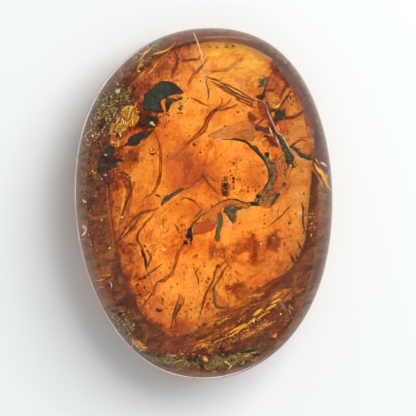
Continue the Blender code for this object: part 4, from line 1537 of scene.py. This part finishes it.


# The pale fibre, films and mineral grains near the surface, and the cracks whose bright yellow is a painted
# glint of light
def makePale():
    pale = {
        "grain": 0.12, "stretch": (0.3, 1.3, 1),
        "body": [(0.28, (0.3, 0.2, 0.11)), (0.48, (0.62, 0.5, 0.33)), (0.66, (0.86, 0.8, 0.66))],
        "passes": ((0.95, 0.85, 0.7), (0.8, 0.6, 0.4)), "solid": (0.7, 1),
    }
    golden = {
        "grain": 0.1, "stretch": (0.22, 1.5, 1),
        "body": [(0.3, (0.6, 0.2, 0.01)), (0.5, (0.95, 0.46, 0.03)), (0.75, (1, 0.7, 0.12))],
        "passes": ((1, 0.8, 0.4), (0.95, 0.55, 0.2)), "solid": (0.5, 1), "edgeWeight": -0.1,
    }
    paleMaterial, paintedGlintMaterial = tissue("paleFilm", pale), tissue("paintedCrackGlint", golden)
    fibre = Piece("paleFibre", 81)
    addStrand(fibre, [(-1.1, 17.1), (-0.7, 16.3), (-0.1, 14.4), (0.1, 12.5), (0, 10.7)], (0.12, 0.12, 0.05),
        0.975, 0.4, 0.01)
    fibre.done(paleMaterial)
    films = Piece("paleFilms", 83)
    routes = [
        ([(5.3, 10.4), (6.2, 9.9), (6.5, 9), (7.3, 7.2), (7.8, 6.8), (8.1, 6.3), (9, 4.8), (10, 4.3),
         (10.9, 4.2)], (0.05, 0.06, 0.2, 0.09, 0.06), 0.955),
        ([(6.5, 7.7), (6.8, 7), (7, 6.6)], 0.12, 0.93),
        ([(7.2, 6.6), (7.5, 6), (7.6, 5.5)], (0.16, 0.14, 0.05), 0.93),
        ([(5.2, 5.9), (6, 6.4), (6, 6.6)], (0.16, 0.2, 0.18, 0.1), 0.93),
        ([(11.7, 4.1), (12, 3.9), (12.35, 3.6)], 0.2, 0.95),
        ([(9.3, 1.1), (9.45, 0.8), (9.6, 0.5)], 0.1, 0.9), ([(9.45, -0.8), (9.7, -1.2)], (0.08, 0.16), 0.9),
        ([(-9.4, -7.8), (-9.2, -8.2), (-9.2, -8.5)], 0.1, 0.9),
        ([(1, 6.4), (1.5, 6.4), (2, 6.4)], 0.14, 0.96),
        ([(-12.1, -2.2), (-11.8, -2.6), (-11.9, -3), (-12.2, -3.3)], (0.28, 0.34, 0.24, 0.08), 0.95),
        ([(-3.8, -15.2), (-3.2, -15.3), (-2.7, -15.2)], 0.3, 0.95),
    ]
    addStrands(films, routes, flat=0.35)
    addStrays(films, oval(8.4, -10.7, 1.7, 0.6, -1), 7, (0.4, 1.2), (0.02, 0.05), (0.8, 0.9), (2, 2.4))
    addGrains(films, [(-9.8, 4.8, 0.24), (-9.8, 2.8, 0.2), (-10.2, 2.4, 0.17), (-8.2, -1.4, 0.24),
        (-4, -4.7, 0.28), (-4.3, -2.5, 0.2), (-4, -3.3, 0.22), (1.1, -5.2, 0.16), (1.4, -5.7, 0.14),
        (1.9, -5.2, 0.14), (6.2, -3.6, 0.15), (7, -3.5, 0.16), (5.7, -4.1, 0.24), (7.8, -3.1, 0.16),
        (7.2, -5.6, 0.2), (-8.2, -5.8, 0.2), (0.9, -10.2, 0.2), (-6.5, 13.2, 0.3), (-11.8, 6.7, 0.2),
        (-11.1, 6.7, 0.32), (-8.6, 11.2, 0.45), (-11.5, -3.2, 0.16), (-11.3, -3.9, 0.16),
        (-11.2, -4.2, 0.14), (-7, -12.2, 0.22), (-8.5, -12.1, 0.2), (5, -11.8, 0.3), (2.2, 2.1, 0.14),
        (2.5, 2, 0.14), (6.3, -1.2, 0.14), (9.1, 3, 0.12)], 0.94, 1.4, 0.95)
    films.done(paleMaterial)
    # painted glint: bright yellow strips and crumbs for the light that the cracks catch
    gold = Piece("paintedCrackGlints", 85)
    routes = [
        ([(6.9, 9.5), (7.6, 9.9), (8.4, 11.2)], (0.14, 0.36, 0.2, 0.13, 0.12, 0.05), 0.93),
        ([(6.75, 9), (6.95, 8.9), (6.9, 8.55)], 0.36, 0.92),
        ([(-5.1, 15.6), (-5.6, 15.2), (-6.1, 14.7), (-6.5, 14.1)], (0.08, 0.2, 0.16, 0.06), 0.9),
        ([(-4.9, 14.9), (-4.2, 15.1), (-3.5, 15.3)], 0.26, 0.9),
        ([(-6.2, 14.9), (-5.4, 15.5), (-4.6, 15.9)], 0.14, 0.85),
        ([(-10.9, -7.8), (-10.4, -7.7), (-9.8, -7.5)], 0.14, 0.9),
        ([(-10.25, -7.35), (-9.7, -7.1)], (0.08, 0.06), 0.9),
        ([(-7.3, -2.1), (-7.8, -2.9), (-8.3, -3.5)], 0.14, 0.7),
        ([(-2, -2.3), (-2.2, -3), (-2.3, -3.7)], 0.12, 0.7),
        ([(11, 4), (11.7, 3.2), (12.2, 2.4), (12.5, 1.4)], (0.16, 0.4, 0.42, 0.12), 0.9),
        ([(-0.2, -11.4), (0.3, -11.2), (0.8, -11.1)], 0.2, 0.85),
        ([(1.3, -12.1), (1.9, -11.8), (2.4, -11.5)], 0.22, 0.88),
        ([(2.5, -13), (3.6, -12.4), (4.2, -12)], 0.26, 0.9),
        ([(1, -14), (1.8, -13.6), (2.7, -13.2)], 0.1, 0.92),
        ([(2.5, -13.4), (3.4, -12.8), (4.3, -12.2)], 0.2, 0.92),
        ([(4.2, -12.3), (4.7, -11.9), (5.2, -11.5)], 0.24, 0.92),
        ([(5, -11.3), (5.4, -10.9), (5.9, -10.6)], 0.34, 0.93),
        ([(5.2, -11.7), (5.8, -11.3), (6.4, -10.8)], 0.16, 0.93),
        ([(6.2, -10.7), (6.8, -10.4), (7.3, -10.2)], 0.28, 0.92),
        ([(6.7, -10.1), (7.2, -9.8), (7.8, -9.6)], 0.2, 0.92),
        ([(2.5, -10.8), (3.5, -10.4), (4.4, -10.1)], 0.2, 0.85),
        ([(3.6, -11.7), (4.2, -11.3)], (0.1, 0.16), 0.85),
        ([(6.8, -13.2), (7.1, -13.3), (7.2, -13)], 0.3, 0.9),
        ([(-7.1, -13.8), (-6.4, -14.1), (-5.8, -14.5)], 0.46, 0.9),
        ([(-0.1, -15.6), (0.15, -15.55), (0.4, -15.9)], 0.4, 0.93),
        ([(0.1, -15.3), (0.2, -15.9)], (0.12, 0.2), 0.93),
    ]
    addStrands(gold, routes, flat=0.3, wander=0.1)
    addCrumbs(gold, oval(4.1, -12.4, 4.9, 0.5, 0.6), 24, (0.06, 0.22), (0.88, 0.94), (1.5, 6))
    foot = oval(4.2, -12.1, 7.7, 1.9, 0.4)
    addStrays(gold, foot, 22, (0.3, 1.5), (0.03, 0.09), (0.7, 0.92), (0.3, 0.6))
    addStrays(gold, oval(-5.2, 14.3, 2.7, 0.9, 0.6), 12, (0.4, 1.4), (0.08, 0.22), (0.75, 0.9), (0.6, 0.95))
    addStrays(gold, oval(-9.9, -7.4, 1.4, 0.7, -1.4), 4, (0.3, 1), (0.04, 0.1), (0.85, 0.93), (0.1, 0.6))
    addStrays(gold, oval(0, -14.2, 1, 0.8), 5, (0.3, 1.2), (0.05, 0.14), (0.85, 0.93), (0.1, 0.9))
    addStrays(gold, oval(11.7, 2.8, 2.4, 0.7, -1.2), 12, (0.4, 1.4), (0.04, 0.1), (0.85, 0.94), (2, 2.4))
    addStrand(gold, [(3.1, -15.3), (3.9, -15.3), (4.7, -15.1)], 0.1, 0.93, flat=0.3)
    addStrand(gold, [(-8, 1.6), (-7.9, 0.9), (-8.3, -1), (-8.8, -2.7)], (0.06, 0.16, 0.14, 0.1, 0.1, 0.04),
        0.93, flat=0.3, wander=0.1)
    gold.done(paintedGlintMaterial)


# A pale yellow sheet at the broad end that paints the bright light of the window, which here runs almost to
# the outline
def makeCrestGlow():
    look = {
        "grain": 0.3, "stretch": (0.4, 1.3, 1),
        "body": [(0.15, (0.75, 0.3, 0.04)), (0.5, (1, 0.58, 0.09)), (0.85, (1, 0.76, 0.2))],
        "passes": ((1, 0.98, 0.9), (0.98, 0.85, 0.6)), "solid": (0, 0.66), "fades": True,
        "window": (-0.1, 0.8),
    }
    # painted light: lights the broad end yellow where the window's light reaches
    crest = Piece("paintedCrestGlow", 65)
    addSheet(crest, [(-1, 16.1), (1.8, 16.9), (5.2, 16), (7.6, 13.7), (8.3, 12.5), (7.6, 11.7), (6.4, 11.5),
        (5.2, 11.9), (2, 12.3), (0.6, 12.9), (-0.6, 14.1)], 0.7, 0.18, 1.5, 0.1, lie=0.1, ragged=0.15)
    crest.done(tissue("paintedCrestGlow", look))


# A pale tube just above the edge that paints the thin bright reflection along the outline, and sheets on the
# rim at both sides that paint its dull reflection
def makeEdgeReflection():
    look = {
        "grain": 0.2,
        "body": [(0.3, (0.75, 0.66, 0.6)), (0.5, (0.95, 0.9, 0.86)), (0.7, (1, 0.98, 0.96))],
        "roughness": (0.3, 0.5),
    }
    hazeLook = {
        "grain": 0.16, "contrast": 1.5, "stretch": (0.7, 1.2, 1),
        "body": [(0.2, (0.28, 0.11, 0.045)), (0.5, (0.44, 0.2, 0.09)), (0.8, (0.6, 0.33, 0.17))],
        "passes": ((0.98, 0.88, 0.8), (0.8, 0.58, 0.44)), "solid": (0, 0.45), "fades": True,
        "window": (0, 0.8),
    }
    run = {
        "half": 0.095,  # half the width of the line, mm
        "height": 0.11,  # how far up the crown it runs, as a share of the quarter turn
        "steps": 180,  # around the whole outline
        "first": 58,  # and where on it the line starts and ends
        "last": 151,
        "fade": 14,  # steps in which it thins out at its ends
        "sides": 6,
    }
    # painted reflection: a near-white tube along the outline, lit like any solid
    line = Piece("paintedEdgeReflection", 67)
    outline = planOutline(run["steps"])
    rings = []
    for i in range(run["first"], run["last"] + 1):
        middle = Vector(crownPoint(outline[i], run["height"]))
        out = Vector((middle.x, middle.y, 0)).normalized()
        fade = smoothStep(min(i + 1 - run["first"], run["last"] + 1 - i) / run["fade"])
        half = run["half"] * (0.85 + 0.4 * noise.noise(middle * 0.6)) * fade
        ring = []
        for s in range(run["sides"]):
            turn = 2 * pi * s / run["sides"]
            place = middle + out * half * cos(turn) + Vector((0, 0, half * sin(turn)))
            ring.append(line.point(place * mm, (i * 0.4, 0, 0), 0.5, 0.5))
        rings.append(ring)
    skinRings(line.bm, rings)
    line.done(tissue("paintedEdgeReflection", look))
    # painted reflection: pale brownish sheets at the right and left rim stand in for the floor seen in the
    # dome
    haze = Piece("paintedRimReflection", 68)
    addSheet(haze, [(12.1, -0.3), (12.6, -0.3), (12.7, -1.7), (12.5, -4.2), (11.8, -7.7), (10.6, -10.2),
        (9.2, -12.2), (7.8, -13.7), (6.6, -14.7), (6, -14.3), (7.6, -12.9), (9.2, -11.1), (10.6, -8.9),
        (11.4, -6.5), (11.9, -3.7)], 0.9, 0.16, 0.5, 0.05, lie=1.4, ragged=0.2)
    addSheet(haze, [(-14.3, 0.3), (-13.9, 4.3), (-13.2, 6.1), (-13.2, 3.3), (-13.5, 0.3), (-13.5, -3.7),
        (-12.8, -9.3), (-13.3, -8.1), (-14, -4.1)], 0.85, 0.16, 0.4, 0.05, lie=1.5, ragged=0.15)
    haze.done(tissue("paintedRimReflection", hazeLook))


makeRimShade()
makeEdgeReflection()
makeCrestGlow()
makeFoot()
makeMoss()
makePale()
print("rim litter made")


# The knot of leaves and stalks at the upper right, the thin skins, and orange sheets that paint the glow of
# light in the resin
def makeKnot():
    dark = {
        "grain": 0.1, "contrast": 1.8, "stretch": (0.5, 1.2, 1),
        "body": [(0.2, (0.022, 0.005, 0.002)), (0.5, (0.09, 0.02, 0.006)), (0.8, (0.28, 0.09, 0.03))],
        "passes": ((0.6, 0.22, 0.1), (0.25, 0.06, 0.03)), "solid": (0.5, 0.97),
    }
    frondLook = {
        "grain": 0.07, "contrast": 2.4, "stretch": (0.6, 1.2, 1),
        "body": [(0.15, (0.01, 0.007, 0.003)), (0.5, (0.045, 0.032, 0.01)), (0.85, (0.2, 0.15, 0.05))],
        "passes": ((0.6, 0.35, 0.15), (0.25, 0.12, 0.05)), "solid": (0.7, 1),
    }
    rusty = {
        "grain": 0.12, "stretch": (0.4, 1.2, 1),
        "body": [(0.25, (0.15, 0.02, 0.005)), (0.5, (0.33, 0.058, 0.014)), (0.8, (0.6, 0.17, 0.045))],
        "passes": ((0.8, 0.4, 0.25), (0.38, 0.09, 0.05)), "solid": (0.3, 0.8), "edgeWeight": 0.4,
    }
    skinLook = {
        "grain": 0.14, "stretch": (0.35, 1.3, 1),
        "body": [(0.3, (0.16, 0.05, 0.014)), (0.5, (0.34, 0.13, 0.034)), (0.8, (0.52, 0.26, 0.08))],
        "passes": ((0.97, 0.87, 0.74), (0.62, 0.34, 0.22)), "solid": (0, 0.3), "edgeWeight": 0.6,
        "edgePower": 5, "window": (0.3, 1.3),
    }
    glow = {
        "grain": 0.12, "contrast": 2,
        "body": [(0.2, (0.6, 0.16, 0.02)), (0.5, (0.95, 0.42, 0.05)), (0.8, (1, 0.72, 0.2))],
        "passes": ((1, 0.95, 0.7), (0.85, 0.5, 0.25)), "solid": (0.25, 0.8), "edgeWeight": -0.4,
        "window": (0.1, 0.9),
    }
    leaves = Piece("knotLeaves", 91)
    addSlab(leaves, [(5.26, 10.75), (5.52, 10.86), (5.82, 10.8), (6.04, 10.76), (6.02, 10.46), (5.73, 10.33),
        (5.38, 10.38)], 0.92, 0.3, 0.09, 0.2, ragged=0.14)
    addSlab(leaves, [(5, 7.7), (5.8, 7.7), (6.5, 7.2), (6.5, 6.9), (5.6, 7.2), (5.2, 7.2)],
        0.88, 0.25, 0.09, 0.2)
    addStrand(leaves, [(6.6, 6.7), (6.8, 6.3), (7.2, 5.8), (7.5, 5.5)], (0.3, 0.4, 0.34, 0.1),
        0.91, wander=0.08)
    routes = [
        ([(7.4, 9.4), (8, 10.2), (8.6, 11), (8.6, 11.3)], (0.24, 0.24, 0.25, 0.08), 0.92),
        ([(7.3, 9.4), (7, 9.3), (6.8, 9.1), (6.6, 8.9)], (0.26, 0.2, 0.14, 0.06), 0.9),
        ([(6.4, 8.6), (6.9, 7.6), (7.2, 7)], (0.16, 0.3, 0.36, 0.2), 0.9),
        ([(6.2, 11.5), (6, 11.1), (5.9, 10.7)], (0.24, 0.3, 0.2), 0.88),
        ([(9.62, 3.11), (9.82, 3.25), (9.98, 2.95)], 0.14, 0.85),
    ]
    addStrands(leaves, routes, wander=0.05)
    addCrumbs(leaves, oval(9.2, 9.7, 1.1, 0.8, -1.4), 50, (0.07, 0.24), (0.8, 0.93))
    addCrumbs(leaves, oval(7, 10.3, 0.8, 0.7, 1.2), 16, (0.06, 0.14), (0.85, 0.92))
    addGrains(leaves, [(5.3, 12.8, 0.16), (5.7, 12.8, 0.2), (6, 12.7, 0.2), (3, 2.5, 0.3), (3, 2.1, 0.3),
        (2.2, 1.9, 0.3), (2, 1, 0.3), (2.3, 0.8, 0.26), (6.2, -1.2, 0.16)], 0.88, 1.3)
    leaves.done(tissue("darkLeaf", dark))
    fronds = Piece("darkFronds", 90)
    addSlab(fronds, [(7.1, 9.3), (8, 9.3), (8.2, 9), (8.1, 8.6), (7.6, 8.3), (7.2, 8.2), (7.1, 8.6)],
        0.9, 0.3, 0.09, 0.2, ragged=0.2)
    addSlab(fronds, [(7.3, 6.7), (7.7, 6.7), (8, 6.3), (8.2, 5.9), (8.9, 5), (9.1, 3.6), (8.8, 3.5),
        (8.7, 3.8), (8.5, 3.5), (8.3, 3.6), (8.3, 4.3), (7.9, 5.3), (7.7, 6)],
        0.935, 0.3, 0.09, 0.2, ragged=0.2)
    addSlab(fronds, [(8.7, 5.7), (9.3, 5.5), (9.8, 5.1), (11, 4.3), (10.3, 4.3), (9.6, 4.7)],
        0.925, 0.16, 0.09, 0.2, ragged=0.14)
    addStrays(fronds, oval(8.6, 4.4, 1.1, 0.5, -1.2), 16, (0.3, 0.9), (0.08, 0.18), (0.93, 0.95), (1.6, 2.4))
    addStrays(fronds, oval(9.8, 5, 1.2, 0.4, -0.6), 14, (0.3, 0.8), (0.06, 0.14), (0.91, 0.94), (2.3, 2.9))
    addStrays(fronds, oval(7.6, 8.8, 0.6, 0.6), 10, (0.3, 0.8), (0.08, 0.16), (0.9, 0.93), (1, 2.4))
    addCrumbs(fronds, oval(8.7, 4.3, 1.2, 0.6, -1.5), 30, (0.08, 0.26), (0.92, 0.95))
    addCrumbs(fronds, oval(10.8, 4.5, 1.4, 0.4, -0.4), 30, (0.06, 0.2), (0.88, 0.95))
    fronds.done(tissue("darkFrond", frondLook))
    rust = Piece("rustLeaves", 92)
    addSlab(rust, [(4.4, 9.1), (4.8, 9), (5.2, 8.7), (5.4, 8.4), (4.6, 8.1)], 0.86, 0.2, 0.09, 0.2)
    addSlab(rust, [(5.4, 10.3), (5.7, 10.2), (6.1, 10), (6.5, 9), (6.6, 8.5), (6.2, 8.4), (5.6, 9.1)],
        0.91, 0.25, 0.1, 0.25)
    routes = [
        ([(4.7, 8.2), (5.2, 7.8), (6.3, 8.7)], (0.12, 0.2, 0.16, 0.18, 0.2, 0.1), 0.88),
        ([(8, 8.5), (9, 8.6), (10.1, 9.2)], (0.3, 0.34, 0.34, 0.3, 0.14), 0.8),
        ([(6.1, 11.3), (6.3, 11.3), (6.8, 11.3), (7.3, 11.3)], (0.3, 0.34, 0.2, 0.06), 0.9),
        ([(8.4, 12.2), (8.3, 11.7), (8, 11.3), (7.6, 10.4)], (0.2, 0.34, 0.34, 0.26, 0.1), 0.86),
        ([(6.1, 11.4), (6.7, 12.8), (7.5, 13.4)], (0.24, 0.12, 0.08), 0.85),
        ([(7.6, 13.4), (7.9, 13.1), (8.3, 12.7), (8.4, 12.2)], (0.1, 0.14, 0.16, 0.14), 0.82),
        ([(9.4, 6.6), (10, 6.6), (10.7, 6.6)], 0.14, 0.82),
        ([(8.4, 5.4), (9.7, 6.3), (10.3, 6.1)], (0.2, 0.28, 0.24, 0.2, 0.08), 0.84),
        ([(10, 9.3), (10.2, 8.3), (10.3, 7.1)], 0.14, 0.7),
        ([(6.1, 6.8), (6.4, 6.5), (6.6, 6.1), (6.9, 5.6)], (0.2, 0.24, 0.2, 0.08), 0.88),
        ([(6.5, 8.2), (6.7, 7.9), (6.9, 7.5)], (0.3, 0.4, 0.2), 0.9),
    ]
    for route, width, level in routes:
        addStrand(rust, route, width, level, wander=0.06)
        addHairs(rust, route, 2, (0.2, 0.6), 0.05, level)
    rust.done(tissue("rustLeaf", rusty))
    veils = Piece("knotSkins", 93)
    sheets = [
        ([(7.5, 13.4), (6.6, 12.8), (6.1, 11.5), (6.2, 11.2), (7.3, 11.4), (7.9, 11.2), (8.3, 11.6),
         (8.3, 12.6)], 0.82),
        ([(6.2, 11.1), (7.1, 11.3), (8.1, 10.5), (8.4, 10.7), (9.2, 10.7), (9.9, 10.3), (10, 9.3),
         (9.2, 8.6), (8.2, 8.5), (7.5, 8.2), (6.8, 8.5)], 0.78),
        ([(5.8, 6.1), (6.8, 6.3), (7.9, 5.5), (8.6, 4.3), (8.5, 1.3), (6.4, -0.5), (5.8, -0.2), (6.7, 1.1),
         (7.2, 2.8), (6.8, 4.5)], 0.84),
        (oval(-8.9, 2.3, 1.4, 0.6, -0.5), 0.75),
        ([(-8.4, -1.9), (-7, -1.1), (-6.4, -0.3), (-5.2, -0.1), (-5.6, -1.1), (-6.6, -2.1), (-7.6, -3.5),
         (-8.4, -3.7)], 0.7),
        ([(-8.3, 2.9), (-7.2, 1.9), (-7.3, -0.4), (-8.3, -2.1), (-8.4, -1.5), (-7.8, 1.1)], 0.86),
        ([(-8.2, 2.7), (-7.5, 2.3), (-7.2, 1.3), (-7.3, 0.1), (-7.7, -0.9), (-7.9, -0.1), (-7.7, 0.9)],
         0.83),
    ]
    addSheets(veils, sheets, 0.17, 0.5, 0.1, lie=1.3, ragged=0.15)
    veils.done(tissue("brownSkin", skinLook))
    # painted glow: bright orange sheets and crumbs for the light shining through the resin around the knot
    bright = Piece("paintedOrangeGlow", 94)
    pools = [
        [(6.5, 10.7), (7.4, 10.8), (7.6, 10.5), (7.2, 9.7), (6.8, 9.4), (6.6, 9.7)],
        [(8.5, 10.3), (9.2, 10.5), (9.8, 10.2), (9.8, 9.3), (9.2, 8.8), (8.5, 8.7), (8.3, 9.5)],
        [(4.8, 12.6), (5.2, 12.8), (5.8, 12.6), (5.5, 11.6), (5.3, 11.1), (4.8, 12.1)],
        [(-3, 10), (-2.3, 10.2), (-2, 9.6), (-2.4, 9.2), (-3, 9.3)],
    ]
    addSheets(bright, [(pool, 0.86) for pool in pools], 0.1, 0.5, ragged=0.15)
    addCrumbs(bright, oval(7, 10.3, 0.7, 0.6, 1.2), 40, (0.06, 0.2), (0.86, 0.93))
    addCrumbs(bright, oval(9.1, 9.7, 0.9, 0.8), 50, (0.06, 0.2), (0.84, 0.93))
    bright.done(tissue("paintedGlowSkin", glow))
    # painted glow: bright orange sheets for the light shining through the resin at the foot and at the left
    paintedEmberLook = {
        "grain": 0.12, "contrast": 2.2, "stretch": (0.3, 1.3, 1),
        "body": [(0.2, (0.4, 0.08, 0.015)), (0.5, (0.85, 0.27, 0.04)), (0.8, (1, 0.5, 0.11))],
        "passes": ((1, 0.96, 0.85), (0.9, 0.6, 0.35)), "solid": (0, 0.85), "fades": True,
        "window": (0.25, 0.75),
    }
    paintedEmbers = Piece("paintedFootGlow", 96)
    pools = [
        [(-0.1, -11.7), (3.6, -10.3), (3.8, -11.1), (1.8, -12.2), (0, -12.9)],
        [(2.2, -10.3), (4.2, -9.3), (6, -8.6), (6, -9.4), (4.2, -10.4), (2.4, -11)],
        [(6.4, -9.3), (8, -8.4), (9, -8.6), (7.9, -9.6), (6.6, -10.1)],
        [(3.6, -13.1), (5.2, -12.1), (6.8, -11.5), (6.8, -12.4), (5, -13.4), (3.6, -13.8)],
        [(0.4, -13.1), (3, -12), (3, -12.7), (1.6, -13.5), (0.4, -13.9)],
        [(-4.4, -12.3), (-3.2, -12.7), (-2, -12.9), (-2.4, -13.5), (-3.8, -13.3)],
        [(-0.8, -13.7), (0.6, -13.8), (1.8, -14.2), (0.8, -14.7), (-0.6, -14.5)],
    ]
    addSheets(paintedEmbers, [(pool, 0.88) for pool in pools], 0.12, 0.35, ragged=0.3, lie=0.42)
    addSheet(paintedEmbers, [(-9, 0.7), (-8.6, 1.6), (-8, 1.8), (-7.6, 1.1), (-7.7, -0.1), (-8.6, -2.3),
        (-9.1, -2.7)], 0.9, 0.12, 0.35, ragged=0.2, lie=1.3)
    paintedEmbers.done(tissue("paintedFootGlow", paintedEmberLook))
    drop = Piece("orangeDrop", 95)
    addSlab(drop, [(7.23, 7.8), (7.46, 7.79), (7.62, 7.5), (7.64, 7.21), (7.43, 7.21), (7.26, 7.47)],
        0.965, 0.12, 0.07, 0.1, ragged=0.03)
    addStrand(drop, [(-4.2, 10.3), (-4.1, 10), (-3.9, 9.3)], (0.12, 0.3, 0.26, 0.1), 0.955)
    addStrand(drop, [(-1.38, 0), (-1.23, -0.14)], (0.06, 0.1), 0.9)
    drop.done(tissue("orangeResinDrop", {
        "grain": 0.1,
        "body": [(0.2, (0.62, 0.05, 0.004)), (0.5, (0.9, 0.15, 0.006)), (0.8, (1, 0.3, 0.03))],
    }))


# Soft clouds of fine cracks: red-brown ones near the rim and below, pinkish ones in the window. The
# red-brown band inside the upper right rim is painted shade.
def makeClouds():
    deepLook = {
        "grain": 0.13, "contrast": 2.2,
        "body": [(0.2, (0.06, 0.012, 0.004)), (0.5, (0.18, 0.04, 0.012)), (0.8, (0.45, 0.17, 0.05))],
        "passes": ((0.96, 0.81, 0.68), (0.22, 0.075, 0.06)), "solid": (0, 0.6), "fades": True,
        "window": (0.28, 0.66),
    }
    hazeLook = {
        "grain": 0.3, "contrast": 1.9,
        "body": [(0.2, (0.38, 0.1, 0.05)), (0.5, (0.58, 0.22, 0.12)), (0.8, (0.8, 0.42, 0.26))],
        "passes": ((0.98, 0.88, 0.8), (0.82, 0.58, 0.52)), "solid": (0.08, 0.4), "fades": True,
        "window": (0.1, 0.8),
    }
    # painted shade: the dark band inside the upper right rim
    rimShadeBand = [(7, 14.5), (8.6, 13.4), (9.8, 11.8), (10.7, 9.8), (11.3, 7.5), (10.6, 7.3), (9.9, 9.3),
        (8.8, 11.1), (7.7, 12.4), (6.6, 13.5)]
    clouds = Piece("redClouds", 97)
    areas = [
        (oval(1.3, -4.8, 1.1, 0.9), 0.74), (oval(4.9, -4.2, 1.3, 0.8, -1.4), 0.76),
        (oval(7, -3.9, 1.1, 0.9, 1.6), 0.8), (oval(4.9, -5.7, 0.7, 0.4, -0.9), 0.6),
        (oval(8.9, -8.2, 2, 1.1, 0.4), 0.7),
        # this sheet and the two rim band sheets below paint the shade inside the upper right rim
        ([(7.2, 14.1), (8.6, 12.9), (9.8, 11.1), (10.7, 9.1), (11.2, 6.9), (10.6, 6.7), (9.9, 8.9),
         (8.9, 10.7), (7.8, 12.1), (6.6, 13.3)], 0.86),
        (rimShadeBand, 0.91), (rimShadeBand, 0.8), (oval(-9.7, 2.7, 0.9, 0.7, -0.6), 0.76),
        (oval(-7.1, 4.5, 1, 0.9), 0.74),
        ([(-9.1, -3.5), (-8.6, -3.7), (-8.1, -6.5), (-7.3, -7.4), (-7.3, -8.9), (-7, -10.5), (-6.4, -11.9),
         (-7.4, -12.6), (-8.5, -11.3), (-9.1, -9.3), (-9.3, -6.5)], 0.62),
        (oval(-7.9, -9, 2.3, 1.2, -1.2), 0.72),
        ([(0.1, 17.3), (-0.8, 16.7), (-2.4, 16.3), (-3.6, 15.7), (-3.2, 14.9), (0, 16.1)], 0.6),
        (oval(2.5, 15.7, 0.6, 0.4, -0.2), 0.66),
        ([(2.73, 15.11), (3.43, 15), (3.52, 14.5), (2.93, 14.3)], 0.66),
        (oval(-5.4, -12.6, 1.6, 1.1, -0.8), 0.72), (oval(-5.9, 8.2, 1.6, 1, -0.2), 0.66),
        ([(-7.9, 11.9), (-6.4, 11.7), (-6.1, 9.5), (-7, 9.3), (-7.8, 10.7)], 0.66),
        (oval(3.5, -8.7, 1, 0.8, 1.1), 0.66), (oval(3.1, -4.7, 1.4, 0.8, 1), 0.6),
    ]
    addSheets(clouds, areas, 0.15, 0.4, 0.3, ragged=0.4)
    clouds.done(tissue("redCloud", deepLook))
    haze = Piece("pinkHaze", 98)
    areas = [
        (oval(-2, 3.4, 3, 2.2, -1.4), 0.72), (oval(0.8, 2.3, 2.3, 1.5, -1.3), 0.6),
        (oval(-1.1, -0.7, 2.2, 1.2, -0.1), 0.62), (oval(-5.9, -0.1, 1.2, 1.1), 0.7),
        (oval(-4.4, 6.4, 1.1, 0.9, -1), 0.6), (oval(-5.2, -7.3, 1.7, 1.1, 1.6), 0.7),
        (oval(-4.7, -10.8, 1.3, 1.1, 1.4), 0.7), (oval(1.3, 8.8, 1.2, 1, 0.6), 0.6),
        (oval(5, 2.6, 1.8, 1.2, -1.4), 0.4),
    ]
    addSheets(haze, areas, 0.22, 0.7, 0.3, ragged=0.35)
    haze.done(tissue("pinkHaze", hazeLook))


makeKnot()
makeClouds()
print("leaf knot made")


buildFloor()
buildTent()
buildLights()
buildCamera()
scene = bpy.context.scene
scene.view_settings.view_transform = "Standard"
scene.cycles.max_bounces = 32
scene.cycles.transmission_bounces = 24
scene.cycles.transparent_max_bounces = 64
print("studio ready")
